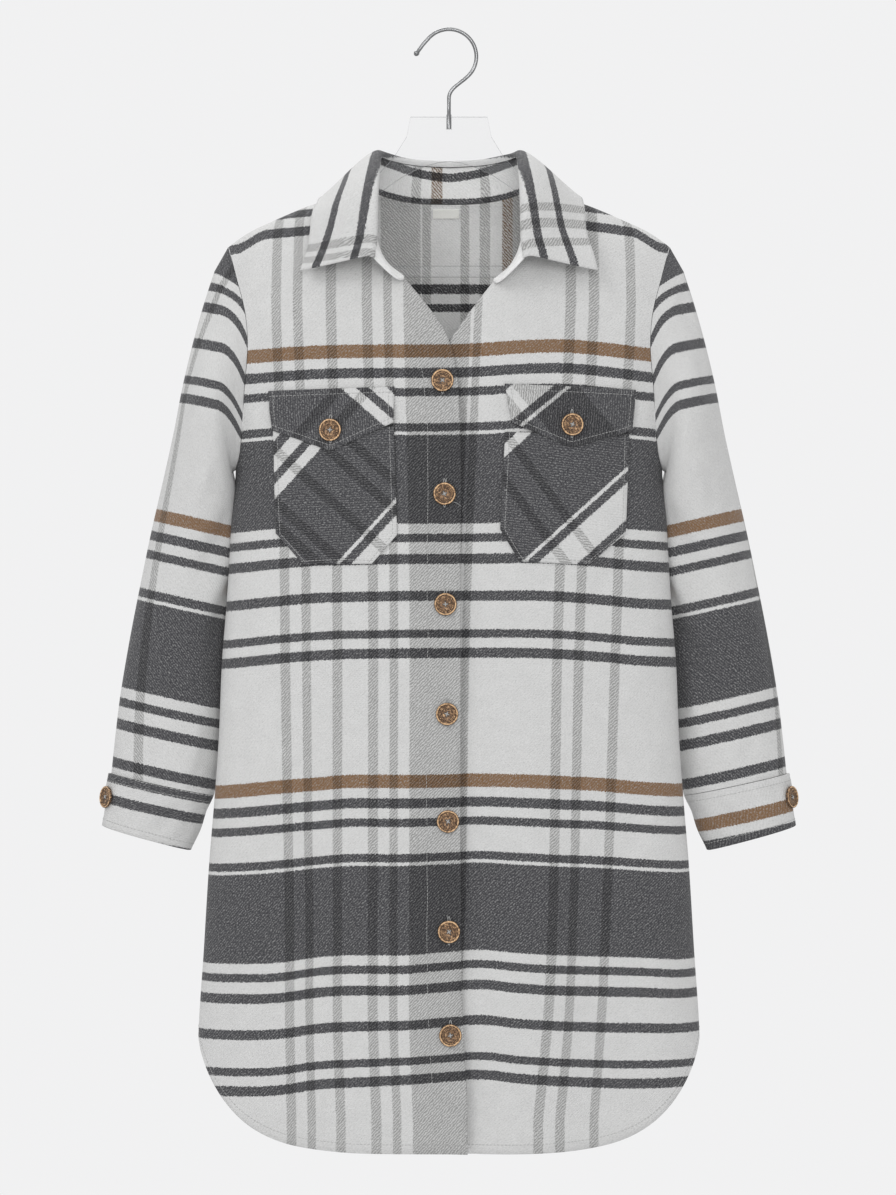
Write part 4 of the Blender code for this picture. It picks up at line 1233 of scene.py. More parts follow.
def collar_half(front, back):
    """Outer points of half the stand, the roll line, the leaf's edge and the stand's rise."""
    share = np.linspace(0, 1, COLLAR_COLUMNS + 1)
    seam = neck_ring(front, back)(share)
    shape = COLLAR(share)
    roll = shape[:, :3]
    edge = shape[:, 3:]
    rise = unit(roll - seam)
    clear = unit(np.where(seam[:, 1:2] > 0, STAND_CLEAR_BACK, STAND_CLEAR_FRONT))
    grown = smooth((share - STAND_CLEAR_START) / (STAND_CLEAR_END - STAND_CLEAR_START))
    base = seam + rise * JOIN + clear * JOIN * grown[:, None]
    level = np.linspace(0, 1, STAND_ROWS + 1)
    stand = base[None] + level[:, None, None] * (roll - base)[None]
    forward = unit(np.gradient(roll + seam, axis=0))
    tab = TAB_LENGTH * smooth((share - TAB_START) / (1 - TAB_START))
    bow = 4 * level * (1 - level)
    stand = stand + bow[:, None, None] * tab[None, :, None] * forward[None]
    return stand, roll, edge, rise


def whole(half_right, half_left):
    """Two halves joined at the centre back, from the wearer's right front end to the left one."""
    return np.concatenate([mirror(half_right)[:, ::-1], half_left[:, 1:]], axis=1)


def facing_back(points, row):
    """Directions across a collar piece, turned so that they face back at its centre back."""
    out = grid_normals(points, closed=False)
    return -out if out[row, points.shape[1] // 2, 1] < 0 else out


def stand_uv(stand):
    """Place in the plaid on the stand: round it from the centre back, and up it."""
    middle = stand.shape[1] // 2
    round_it = length_along(stand[STAND_ROWS // 2])
    round_it = round_it - round_it[middle]
    level = length_along(stand[:, middle])[:, None]
    tab = smooth((np.abs(round_it) - STAND_TAB_START) / STAND_TAB_EASE)[None]
    climb = STAND_CLIMB * smooth(np.abs(round_it) / STAND_CLIMB_REACH)[None]
    climbed = level - climb * smooth((level - STAND_CLIMB_LEVEL) / STAND_CLIMB_LEVEL)
    weft = climbed * (1 - STAND_TAB_SQUEEZE * tab) + STAND_TAB_SHIFT * tab
    return np.stack(np.broadcast_arrays(round_it[None], weft), axis=-1)


def leaf_uv(leaf, place):
    """Place in the plaid on the leaf: from the front end of each half, and down from the fold."""
    right = place < 0
    share = np.abs(place)
    down = length_along(leaf)
    round_it = length_along(leaf, axis=1)
    stripe = LEAF_STRIPE(share)
    first = down - stripe[:, 0][None]
    second = smooth((first - LEAF_SECOND_START) / LEAF_SECOND_EASE)
    weft = first - second * (stripe[:, 1] + np.where(right, LEAF_STRIPE_SHIFT * share, 0))[None]
    from_right = LEAF_RIGHT_START + round_it - LEAF_RIGHT_SLANT * down
    from_left = round_it - round_it[:, -1:] + LEAF_WARP_SLANT * down
    return np.stack([np.where(right, from_right, from_left), weft], axis=-1)


@functools.lru_cache(maxsize=None)
def collar_cloth():
    """The stand, and the leaf folded over it."""
    back = back_cloth().outer
    halves = {
        -1: collar_half(mirror(front_cloth(-1).outer), back),
        1: collar_half(front_cloth(1).outer, back),
    }
    stand = whole(halves[-1][0], halves[1][0])
    out = facing_back(stand, 1)
    stand_inner = stand - out * wall_thickness()
    stand_piece = Cloth(stand, stand_inner, stand_uv(stand), False)

    def row(number):
        return whole(halves[-1][number][None], halves[1][number][None])[0]

    edge = row(2)
    rise = row(3)
    start = stand_inner[-1] + rise * LEAF_JOIN
    away = unit(edge - start)
    folded = (1 - np.sum(away * rise, axis=1, keepdims=True)) / 2
    width = np.linalg.norm(edge - start, axis=1, keepdims=True)
    over = start + rise * LEAF_RISE
    beside = start + rise * LEAF_RISE / 2 + out[-1] * LEAF_OUT * folded
    hold = edge - away * width * LEAF_FALL
    corners = (start, over, beside, hold, edge)
    t = (np.linspace(0, 1, LEAF_ROWS + 1) ** LEAF_ROW_POWER)[:, None, None]
    leaf = sum(math.comb(4, k) * t**k * (1 - t) ** (4 - k) * corner for k, corner in enumerate(corners))
    out = facing_back(leaf, 3)
    place = np.linspace(-1, 1, leaf.shape[1])
    fall = np.linspace(0, 1, LEAF_ROWS + 1)[:, None]
    wave = LEAF_WAVE * np.sin(np.abs(place) * LEAF_WAVE_TURNS + np.sign(place) * LEAF_WAVE_SHIFT)[None]
    wave = wave * smooth(fall * LEAF_WAVE_GROWTH)
    wave = wave * smooth((np.abs(place) - LEAF_WAVE_START) / LEAF_WAVE_EASE)[None]
    leaf = leaf + out * (wave * sizes().crease)[..., None]
    return stand_piece, Cloth(leaf, leaf - out * (wall_thickness() + LEAF_EXTRA), leaf_uv(leaf, place), False)


def on_front(x, height, lift):
    """Points and directions on the fronts, moved out by lift."""
    across = across_of(x, height)
    out = form_normal(across, height, -1)
    return form(across, height, -1) + out * np.asarray(lift)[..., None], out


@functools.lru_cache(maxsize=None)
def pocket_cloth(side):
    """A patch pocket with its lower corners cut off, made from the front's points."""
    table = np.array(POCKETS[side])
    levels = [np.interp(POCKET_LEVELS, table[:, 0], table[:, k])[:, None] for k in range(1, 5)]
    left_x, left_z, right_x, right_z = levels
    share = np.linspace(0, 1, PATCH_COLUMNS + 1)
    x = left_x + share * (right_x - left_x)
    height = left_z + share * (right_z - left_z)
    thick = wall_thickness()
    points, out = on_front(x, height, POCKET_LIFT + thick)
    return Cloth(points, points - out * thick, bias_place(x, height, f"pocket_{side}"), False)


def bias_place(x, height, piece):
    """Place in the plaid on a pocket or a flap, whose weft is turned on the front."""
    corner_x, corner_z, turn, start, way, slant = BIAS[piece]
    turn = math.radians(turn)
    right = x - corner_x
    low = corner_z - height
    aside = right * math.cos(turn) - low * math.sin(turn)
    down = right * math.sin(turn) + low * math.cos(turn)
    return np.stack([aside + slant * down, start + way * down], axis=-1)


def flap_lift(height):
    """A flap is sewn to the front above its pocket and passes over the pocket's mouth."""
    over = smooth((FLAP_RISE_START - height) / (FLAP_RISE_START - FLAP_RISE_END))
    return POCKET_LIFT + (wall_thickness() + JOIN) * over


@functools.lru_cache(maxsize=None)
def flap_cloth(side):
    left_x, left_z, right_x, right_z, low_x, low_z, far_x, far_z, tip_x, tip_z = FLAPS[side]
    share = np.linspace(0, 1, PATCH_COLUMNS + 1)
    bend = (tip_x - low_x) / (far_x - low_x)
    lower_x = low_x + share * (far_x - low_x)
    lower_z = np.interp(share, (0, bend, 1), (low_z, tip_z, far_z))
    upper_x = left_x + share * (right_x - left_x)
    upper_z = left_z + share * (right_z - left_z)
    level = np.linspace(0, 1, FLAP_ROWS + 1)[:, None]
    x = upper_x + level * (lower_x - upper_x)
    height = upper_z + level * (lower_z - upper_z)
    thick = wall_thickness()
    points, out = on_front(x, height, flap_lift(height) + thick)
    return Cloth(points, points - out * thick, bias_place(x, height, f"flap_{side}"), False)


def grid_quads(rows, columns, closed=False):
    i = np.arange(rows - 1)[:, None]
    j = np.arange(columns if closed else columns - 1)[None]
    a = i * columns + j
    b = i * columns + (j + 1) % columns
    return np.stack([a, b, b + columns, a + columns], axis=-1).reshape(-1, 4)


def border_lines(rows, columns, closed):
    """Index lines along each border of a grid, with the next line inside it."""
    number = np.arange(rows * columns).reshape(rows, columns)
    lines = {"bottom": (number[0], number[1]), "top": (number[-1], number[-2])}
    if not closed:
        lines["left"] = (number[:, 0], number[:, 1])
        lines["right"] = (number[:, -1], number[:, -2])
    return lines


def rim_points(cloth, rounded):
    """Middle points of the rim between a shell's two faces, pushed out where the edge is soft."""
    rows, columns = cloth.outer.shape[:2]
    outer = cloth.outer.reshape(-1, 3)
    inner = cloth.inner.reshape(-1, 3)
    middle = (outer + inner) / 2
    thick = np.linalg.norm(outer - inner, axis=1, keepdims=True)
    for name, (line, next_line) in border_lines(rows, columns, cloth.closed).items():
        if name in rounded:
            middle[line] += unit(outer[line] - outer[next_line]) * thick[line] * RIM_ROUNDING
    return middle


def shell(name, cloth, finish, node, rounded=()):
    """A closed thin shell between a piece's outer and inner points, which stands for its solid."""
    rows, columns = cloth.outer.shape[:2]
    count = rows * columns
    points = np.concatenate([cloth.outer.reshape(-1, 3), cloth.inner.reshape(-1, 3), rim_points(cloth, rounded)])
    uv_columns = cloth.uv.shape[1]
    uv = cloth.uv.reshape(-1, 2)
    quads = grid_quads(rows, columns, cloth.closed)
    uv_quads = grid_quads(rows, uv_columns)
    faces = [quads, quads[:, ::-1] + count]
    uv_faces = [uv_quads, uv_quads[:, ::-1]]
    uv_lines = border_lines(rows, uv_columns, cloth.closed)
    for key, (line, _) in border_lines(rows, columns, cloth.closed).items():
        if cloth.closed:
            line = np.append(line, line[0])
        uv_line = uv_lines[key][0]
        for near, far in ((0, 2 * count), (2 * count, count)):
            faces.append(np.stack([line[:-1] + near, line[1:] + near, line[1:] + far, line[:-1] + far], axis=1))
            uv_faces.append(np.stack([uv_line[:-1], uv_line[1:], uv_line[1:], uv_line[:-1]], axis=1))
    faces = np.concatenate(faces)
    uv_faces = np.concatenate(uv_faces)
    mesh = bpy.data.meshes.new(name)
    used = np.unique(faces)
    renumber = np.zeros(len(points), int)
    renumber[used] = np.arange(len(used))
    mesh.from_pydata((points[used] * MM).tolist(), [], renumber[faces].tolist())
    corners = uv[uv_faces]
    torn = np.ptp(corners[..., 0], axis=1) > PLAID_JUMP
    corners[torn, :, 0] = corners[torn, :, 0].max(axis=1, keepdims=True)
    layer = mesh.uv_layers.new(name="UVMap")
    layer.data.foreach_set("uv", (corners * MM).astype(np.float32).reshape(-1))
    return finish_piece(name, mesh, finish, [node])


def finish_piece(name, mesh, finish, nodes, angle=70):
    """Turns a mesh to face out, shades it and hands it to the frame."""
    tidy = bmesh.new()
    tidy.from_mesh(mesh)
    bmesh.ops.recalc_face_normals(tidy, faces=tidy.faces)
    tidy.to_mesh(mesh)
    tidy.free()
    mesh.shade_smooth()
    mesh.set_sharp_from_angle(angle=math.radians(angle))
    mesh.materials.append(finish)
    made = bpy.data.objects.new(name, mesh)
    bpy.context.scene.collection.objects.link(made)
    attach(made, "root")
    if nodes:
        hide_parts(*nodes)
    return made


SHADER_INPUTS = {
    "colour": "Base Color",
    "metal": "Metallic",
    "rough": "Roughness",
    "shine": "Specular IOR Level",
    "sheen": "Sheen Weight",
    "sheen_rough": "Sheen Roughness",
    "normal": "Normal",
    "alpha": "Alpha",
}


class Graph:
    """Adds nodes to a material, one call each."""

    def __init__(self, name):
        self.material = bpy.data.materials.new(name)
        self.material.use_nodes = True
        self.tree = self.material.node_tree
        self.shader = self.tree.nodes["Principled BSDF"]

    def node(self, kind, inputs=None, **settings):
        made = self.tree.nodes.new(kind)
        for key, value in settings.items():
            setattr(made, key, value)
        for key, value in (inputs or {}).items():
            self.put(made.inputs[key], value)
        return made

    def put(self, socket, value):
        if isinstance(value, bpy.types.NodeSocket):
            self.tree.links.new(value, socket)
        else:
            socket.default_value = value

    def math(self, operation, a, b=0.0, c=0.0):
        return self.node("ShaderNodeMath", {0: a, 1: b, 2: c}, operation=operation).outputs[0]

    def noise(self, vector, scale, detail=2.0, roughness=0.5, output="Fac"):
        inputs = {"Vector": vector, "Scale": scale, "Detail": detail, "Roughness": roughness}
        return self.node("ShaderNodeTexNoise", inputs).outputs[output]

    def range(self, value, low, high, to_low=0.0, to_high=1.0):
        inputs = {"Value": value, "From Min": low, "From Max": high, "To Min": to_low, "To Max": to_high}
        return self.node("ShaderNodeMapRange", inputs).outputs[0]

    def even(self, level):
        """A grey of one level."""
        return self.node("ShaderNodeCombineColor", {0: level, 1: level, 2: level}).outputs[0]

    def bump(self, height, strength, distance):
        inputs = {"Height": height, "Strength": strength, "Distance": distance}
        return self.node("ShaderNodeBump", inputs).outputs[0]

    def object_place(self):
        return self.node("ShaderNodeTexCoord").outputs["Object"]

    def surface(self, **inputs):
        """Gives the shader its inputs, whose names are written here in small letters."""
        for key, value in inputs.items():
            self.put(self.shader.inputs[SHADER_INPUTS[key]], value)

    def ramp(self, factor, stops, interpolation="LINEAR"):
        made = self.node("ShaderNodeValToRGB", {"Fac": factor})
        band = made.color_ramp
        band.interpolation = interpolation
        while len(band.elements) > 1:
            band.elements.remove(band.elements[-1])
        for number, (place, colour) in enumerate(stops):
            element = band.elements[0] if number == 0 else band.elements.new(place)
            element.position = place
            element.color = (*colour, 1.0)
        return made.outputs["Color"]

    def mix(self, blend, factor, a, b):
        made = self.node("ShaderNodeMix", {0: factor}, data_type="RGBA", blend_type=blend)
        for number, colour in ((6, a), (7, b)):
            self.put(made.inputs[number], colour if isinstance(colour, bpy.types.NodeSocket) else (*colour, 1.0))
        return made.outputs[2]


def stripe_stops(rows, low, high, ground, tints):
    """Stops of a colour ramp from low to high with a band for each stripe on the ground colour."""
    stops = [(0.0, ground)]
    for start, end, tint in sorted(rows):
        start_place = (max(start, low) - low) / (high - low)
        end_place = (min(end, high) - low) / (high - low)
        if start_place <= stops[-1][0] + 1e-6:
            stops[-1] = (stops[-1][0], tints[tint])
        else:
            stops.append((start_place, tints[tint]))
        stops.append((end_place, ground))
    return stops


def stripe_span(rows):
    """Ends of a colour ramp that holds all its stripes."""
    return min(row[0] for row in rows) - STRIPE_MARGIN, max(row[1] for row in rows) + STRIPE_MARGIN


def plaid(name, weft_rows, warp_rows, period=None, twill_depth=TWILL_DEPTH, painted_light=1.0):
    """Brushed twill with weft stripes that cover the ground and warp stripes that tint it; the last argument makes
    the ground paler, as painted light on pieces that lie in shade.
    """
    tone = colours()
    graph = Graph(name)
    place = graph.node("ShaderNodeUVMap", uv_map="UVMap").outputs["UV"]
    fuzz = graph.noise(place, *CLOTH_NOISE["fuzz"], output="Color")
    jitter = graph.node("ShaderNodeVectorMath", {0: fuzz, 1: (0.5, 0.5, 0.5)}, operation="SUBTRACT").outputs[0]
    scaled = graph.node("ShaderNodeVectorMath", {0: jitter, 3: FUZZ_REACH}, operation="SCALE").outputs[0]
    moved = graph.node("ShaderNodeVectorMath", {0: place, 1: scaled}, operation="ADD").outputs[0]
    split = graph.node("ShaderNodeSeparateXYZ", {0: moved})
    flat = graph.node("ShaderNodeSeparateXYZ", {0: place})
    warp_place = split.outputs["X"]
    weft_place = split.outputs["Y"]

    # The ground is made paler here: painted light for pieces that lie in shade
    white = tuple(painted_light * part for part in tone.white)
    weft_tints = {"charcoal": tuple(tone.charcoal), "brown": tuple(tone.brown)}
    if period:
        turn = graph.math("FRACT", graph.math("DIVIDE", weft_place, period * MM))
        stops = stripe_stops(weft_rows, 0.0, period, white, weft_tints)
    else:
        low, high = stripe_span(weft_rows)
        turn = graph.range(weft_place, low * MM, high * MM)
        stops = stripe_stops(weft_rows, low, high, white, weft_tints)
    weft = graph.ramp(turn, stops, "CONSTANT")

    low, high = stripe_span(warp_rows)
    share = graph.range(warp_place, low * MM, high * MM)
    warp_tints = {"grey": tuple(tone.grey), "brown": tuple(tone.tan)}
    warp = graph.ramp(share, stripe_stops(warp_rows, low, high, (1.0, 1.0, 1.0), warp_tints), "CONSTANT")

    slant = graph.math("ADD", flat.outputs["X"], flat.outputs["Y"])
    wander = graph.math("MULTIPLY", graph.noise(place, *CLOTH_NOISE["wander"]), TWILL_WANDER)
    lines = graph.math("MULTIPLY", graph.math("ADD", slant, wander), 2 * math.pi / sizes().twill)
    twill = graph.math("MULTIPLY_ADD", graph.math("SINE", lines), 0.5, 0.5)
    rows_of_yarn = graph.math("MULTIPLY", flat.outputs["Y"], 2 * math.pi / (sizes().twill * YARN_SHARE))
    yarn = graph.math("MULTIPLY_ADD", graph.math("SINE", rows_of_yarn), 0.5, 0.5)

    worn = graph.math("MULTIPLY_ADD", graph.noise(place, *CLOTH_NOISE["wear"]), TWILL_WEAR, -TWILL_WEAR / 2)
    lifted = graph.math("ADD", twill, worn)
    strength = graph.range(lifted, *TWILL_LIFT, 1.0, 1.0 - TWILL_COVER * twill_depth)
    tinted = graph.mix("MULTIPLY", strength, weft, warp)
    loose = graph.range(graph.noise(place, *CLOTH_NOISE["fibres"]), *FIBRE_SHOWS)
    loose = graph.math("MULTIPLY", loose, graph.math("MULTIPLY_ADD", twill, *FIBRE_COVER))
    fleck = graph.mix("MULTIPLY", FLECK_TINT, tuple(FLECK_LEVEL * part for part in white), warp)
    furred = graph.mix("MIX", loose, tinted, fleck)
    mottle = graph.math("MULTIPLY_ADD", graph.noise(place, *CLOTH_NOISE["mottle"]), *MOTTLE_LEVEL)
    grain = graph.math("MULTIPLY_ADD", graph.noise(place, *CLOTH_NOISE["grain"]), *GRAIN_LEVEL)
    colour = graph.mix("MULTIPLY", 1.0, furred, graph.even(graph.math("MULTIPLY", mottle, grain)))

    nap = graph.math("MULTIPLY", graph.noise(place, *CLOTH_NOISE["nap"]), RELIEF_NAP)
    relief = graph.math("MULTIPLY_ADD", twill, RELIEF_TWILL * twill_depth, nap)
    relief = graph.math("ADD", relief, graph.math("MULTIPLY", yarn, RELIEF_YARN))
    relief = graph.math("MULTIPLY_ADD", graph.noise(place, *CLOTH_NOISE["soft"]), RELIEF_SOFT, relief)
    bump = graph.bump(relief, 0.7, 0.0008)
    graph.surface(colour=colour, normal=bump, rough=0.95, shine=0.2, sheen=0.10, sheen_rough=0.55)
    return graph.material


@functools.lru_cache(maxsize=None)
def cloth_finish(kind):
    """Material of each kind of piece, made the first time it is asked for."""

    def at_reach(rows):
        return tuple((reach_of(start), reach_of(end), tint) for start, end, tint in rows)

    if kind == "front_right":
        return plaid("flannel_front_right", WEFT_ROWS, at_reach(WARP_FRONT_RIGHT), WEFT_PERIOD)
    if kind == "front_left":
        return plaid("flannel_front_left", WEFT_ROWS, at_reach(WARP_FRONT_LEFT), WEFT_PERIOD)
    if kind == "back":
        return plaid("flannel_back", WEFT_ROWS, WARP_BACK, WEFT_PERIOD, TWILL_DEPTH_INSIDE, BACK_PAINTED_LIGHT)
    if kind.startswith("sleeve"):
        return plaid(f"flannel_{kind}", WEFT_ROWS, WARP_SLEEVE[kind.split("_")[1]], WEFT_PERIOD)
    if kind == "cuff":
        return plaid("flannel_cuff", WEFT_ROWS, WARP_CUFF, WEFT_PERIOD)
    if kind == "stand":
        return plaid("flannel_stand", WEFT_STAND, WARP_STAND, None, TWILL_DEPTH_INSIDE, STAND_PAINTED_LIGHT)
    if kind == "leaf":
        return plaid("flannel_leaf", WEFT_LEAF, WARP_LEAF)
    return plaid(f"flannel_{kind}", WEFT_ROWS, WARP_BIAS[kind], WEFT_PERIOD, TWILL_DEPTH_BIAS)


def inset_line(cloth, border, inset):
    """Points and directions on a piece's outer face, a fixed distance inside one border."""
    grid = cloth.outer
    out = unit(cloth.outer - cloth.inner)
    if border == "top":
        grid, out = grid[::-1], out[::-1]
    elif border == "left":
        grid, out = grid.transpose(1, 0, 2), out.transpose(1, 0, 2)
    elif border == "right":
        grid, out = grid[:, ::-1].transpose(1, 0, 2), out[:, ::-1].transpose(1, 0, 2)
    reach = length_along(grid)
    row = np.clip(np.argmax(reach > inset, axis=0), 1, len(grid) - 1)
    column = np.arange(grid.shape[1])
    low = reach[row - 1, column]
    share = np.clip((inset - low) / np.maximum(reach[row, column] - low, 1e-9), 0, 1)[:, None]
    points = grid[row - 1, column] * (1 - share) + grid[row, column] * share
    ways = unit(out[row - 1, column] * (1 - share) + out[row, column] * share)
    return points, ways


def stitch_row(points, ways):
    """Stitches along a line: each a thin bent thread that dips into the cloth at its ends."""
    length = sizes().stitch / MM
    radius = sizes().thread / MM
    reach = length_along(points)
    places = np.arange(0.0, reach[-1] - length, length * STITCH_SPACING)
    if not len(places):
        return np.zeros((0, 3)), np.zeros((0, 4), int)

    def at(place, values):
        return np.stack([np.interp(place, reach, values[:, k]) for k in range(3)], axis=-1)

    turn = np.arange(THREAD_SIDES) * 2 * math.pi / THREAD_SIDES
    ahead = unit(at(places + length, points) - at(places, points))
    rings = []
    for share, rise, width in STITCH_SHAPE:
        way = unit(at(places + share * length, ways))
        centre = at(places + share * length, points) + way * (rise * radius)
        aside = unit(np.cross(ahead, way))
        ring = centre[:, None] + radius * width * (
            np.cos(turn)[None, :, None] * way[:, None] + np.sin(turn)[None, :, None] * aside[:, None]
        )
        rings.append(ring)
    grid = np.stack(rings, axis=1)
    quads = grid_quads(len(STITCH_SHAPE), THREAD_SIDES, closed=True)
    per = len(STITCH_SHAPE) * THREAD_SIDES
    faces = (quads[None] + (np.arange(len(places)) * per)[:, None, None]).reshape(-1, 4)
    return grid.reshape(-1, 3), faces


def stitched(cloth, inset, *borders):
    """A row of stitches beside each of some borders."""
    return [stitch_row(*inset_line(cloth, border, inset)) for border in borders]


def joined(parts):
    """Points and faces of several parts as one."""
    points = []
    faces = []
    count = 0
    for part_points, part_faces in parts:
        points.append(part_points)
        faces += [[vert + count for vert in face] for face in part_faces]
        count += len(part_points)
    return np.concatenate(points), faces


def mesh_of(name, points, faces):
    mesh = bpy.data.meshes.new(name)
    mesh.from_pydata((np.asarray(points) * MM).tolist(), [], [list(map(int, face)) for face in faces])
    return mesh


@functools.lru_cache(maxsize=None)
def thread_finish():
    graph = Graph("cotton_thread")
    fleck = graph.math("MULTIPLY_ADD", graph.noise(graph.object_place(), 3000.0), 0.3, 0.82)
    graph.surface(colour=graph.mix("MULTIPLY", 1.0, tuple(colours().thread), graph.even(fleck)), rough=0.75)
    return graph.material


def add_threads(name, parts):
    points, faces = joined([part for part in parts if len(part[0])])
    return finish_piece(name, mesh_of(name, points, faces), thread_finish(), [])


class FrontsOperator(bpy.types.Operator):
    """Make the two fronts, the wearer's right one lapping over the left"""

    bl_idname = "shacket.make_fronts"
    bl_label = "Make fronts"

    def execute(self, context):
        for side, name in SIDES:
            piece = shell(
                f"front_{name}_cloth",
                front_cloth(side),
                cloth_finish(f"front_{name}"),
                f"front_{name}",
                ("bottom", "left"),
            )
        return {"FINISHED"}


class BackOperator(bpy.types.Operator):
    """Make the back panel"""

    bl_idname = "shacket.make_back"
    bl_label = "Make back"

    def execute(self, context):
        piece = shell("back_cloth", back_cloth(), cloth_finish("back"), "back", ("bottom",))
        return {"FINISHED"}


class SleevesOperator(bpy.types.Operator):
    """Make the two sleeves"""

    bl_idname = "shacket.make_sleeves"
    bl_label = "Make sleeves"

    def execute(self, context):
        for side, name in SIDES:
            node = f"sleeve_{name}"
            piece = shell(f"{node}_cloth", sleeve_cloth(side), cloth_finish(node), node)
        return {"FINISHED"}


class CuffsOperator(bpy.types.Operator):
    """Make the two cuffs"""

    bl_idname = "shacket.make_cuffs"
    bl_label = "Make cuffs"

    def execute(self, context):
        for side, name in SIDES:
            piece = shell(
                f"cuff_{name}_cloth",
                cuff_cloth(side),
                cloth_finish("cuff"),
                f"cuff_{name}",
                ("top", "left", "right"),
            )
        return {"FINISHED"}


class CollarOperator(bpy.types.Operator):
    """Make the collar stand and the collar leaf"""

    bl_idname = "shacket.make_collar"
    bl_label = "Make collar"

    def execute(self, context):
        stand, leaf = collar_cloth()
        made = shell("collar_stand_cloth", stand, cloth_finish("stand"), "collar_stand", ("left", "right"))
        made = shell("collar_leaf_cloth", leaf, cloth_finish("leaf"), "collar_leaf", ("top", "left", "right"))
        return {"FINISHED"}


class PocketsOperator(bpy.types.Operator):
    """Make the chest pockets and their flaps"""

    bl_idname = "shacket.make_pockets"
    bl_label = "Make pockets and flaps"

    def execute(self, context):
        for side in ("right", "left"):
            edges = ("bottom", "top", "left", "right")
            node = f"pocket_{side}"
            made = shell(f"{node}_cloth", pocket_cloth(side), cloth_finish(node), node, edges)
            node = f"flap_{side}"
            made = shell(f"{node}_cloth", flap_cloth(side), cloth_finish(node), node, edges)
        return {"FINISHED"}


class SewingOperator(bpy.types.Operator):
    """Make the rows of topstitching"""

    bl_idname = "shacket.make_sewing"
    bl_label = "Make sewing"

    def execute(self, context):
        for side, name in SIDES:
            front = front_cloth(side)
            rows = stitched(front, HEM_INSET, "bottom")
            if side < 0:
                line, ways = inset_line(front, "left", PLACKET_INSET)
                keep = line[:, 2] < PLACKET_STITCH_TOP
                rows.append(stitch_row(line[keep], ways[keep]))
            add_threads(f"front_{name}_stitches", rows)
        add_threads("back_stitches", stitched(back_cloth(), HEM_INSET, "bottom"))
        leaf = collar_cloth()[1]
        add_threads("collar_stitches", stitched(leaf, TOPSTITCH_INSET, "top", "left", "right"))
        for side, name in SIDES:
            cuff = cuff_cloth(side)
            rows = stitched(cuff, CUFF_INSET, "top", "bottom") + stitched(cuff, TOPSTITCH_INSET, "right")
            add_threads(f"cuff_{name}_stitches", rows)
            rows = stitched(pocket_cloth(name), POCKET_INSET, "top", "left", "right")
            rows += stitched(flap_cloth(name), TOPSTITCH_INSET, "top", "left", "right", "bottom")
            add_threads(f"pocket_{name}_stitches", rows)
        return {"FINISHED"}


def spun(profile, sides):
    """Points and faces of a closed turned form about the local Z axis."""
    turn = np.arange(sides) * 2 * math.pi / sides
    rings = [(radius, height) for radius, height in profile if radius > 0]
    points = [[radius * math.cos(a), radius * math.sin(a), height] for radius, height in rings for a in turn]
    faces = [list(face) for face in grid_quads(len(rings), sides, closed=True)]
    faces.append(list(range(sides))[::-1])
    last = (len(rings) - 1) * sides
    faces.append(list(range(last, last + sides)))
    return np.array(points), faces


def bead(centre, radius, squash, sides, rings):
    """A low round bead on a button, or the dark mouth of a hole."""
    lat = np.linspace(0.2, math.pi / 2 - 0.05, rings)
    profile = [(radius * math.cos(a), radius * squash * math.sin(a)) for a in lat]
    profile.insert(0, (radius, -radius * 0.3))
    points, faces = spun(profile, sides)
    return points + np.array(centre), faces


def thread_arc(start, end, rise, radius=0.38, steps=9, sides=6):
    """A short thread from one place to another, bowed up in its middle."""
    t = np.linspace(0, 1, steps)[:, None]
    path = np.array(start) * (1 - t) + np.array(end) * t
    path[:, 2] += (4 * t * (1 - t))[:, 0] * rise
    return tube(path, np.full(steps, radius), sides)


def tube(path, radii, sides):
    """Points and faces of a closed tube along a path."""
    path = np.asarray(path, float)
    ahead = unit(np.gradient(path, axis=0))
    lead = np.array([0.0, 1.0, 0.0]) if abs(ahead[0, 1]) < 0.9 else np.array([1.0, 0.0, 0.0])
    aside = []
    for way in ahead:
        lead = unit(lead - way * np.dot(lead, way))
        aside.append(lead)
    aside = np.array(aside)
    other = np.cross(ahead, aside)
    turn = np.arange(sides) * 2 * math.pi / sides
    spokes = np.cos(turn)[None, :, None] * aside[:, None] + np.sin(turn)[None, :, None] * other[:, None]
    points = (path[:, None] + spokes * np.asarray(radii)[:, None, None]).reshape(-1, 3)
    faces = [list(face) for face in grid_quads(len(path), sides, closed=True)]
    faces.append(list(range(sides))[::-1])
    last = (len(path) - 1) * sides
    faces.append(list(range(last, last + sides)))
    return points, faces


def button_parts():
    """A button at the origin facing +Z: its disc with a beaded ring, and the thread in its holes."""
    radius = sizes().button_radius / MM
    disc = spun([(share * radius, height) for share, height in BUTTON_PROFILE], BUTTON_SIDES)
    parts = [disc]
    for count, share, first, height, bead_radius, flatness, sides, rings in BEAD_RINGS:
        for number in range(count):
            a = number * 2 * math.pi / count + first
            place = (share * radius * math.cos(a), share * radius * math.sin(a), height)
            parts.append(bead(place, bead_radius, flatness, sides, rings))
    holes = []
    for number in range(HOLES):
        a = math.pi / 4 + number * math.pi / 2
        centre = (HOLE_PLACE * math.cos(a), HOLE_PLACE * math.sin(a), HOLE_HEIGHT)
        holes.append(bead(centre, HOLE_RADIUS, HOLE_FLATNESS, 14, 3))
    reach = HOLE_PLACE * math.cos(math.pi / 4)
    threads = []
    for aside in (-THREAD_ASIDE, THREAD_ASIDE):
        for low, rise in zip((-reach, reach), THREAD_RISES):
            start = (-reach + aside, low, THREAD_HEIGHT)
            threads.append(thread_arc(start, (reach + aside, -low, THREAD_HEIGHT), rise))
    return joined(parts), joined(holes), joined(threads)


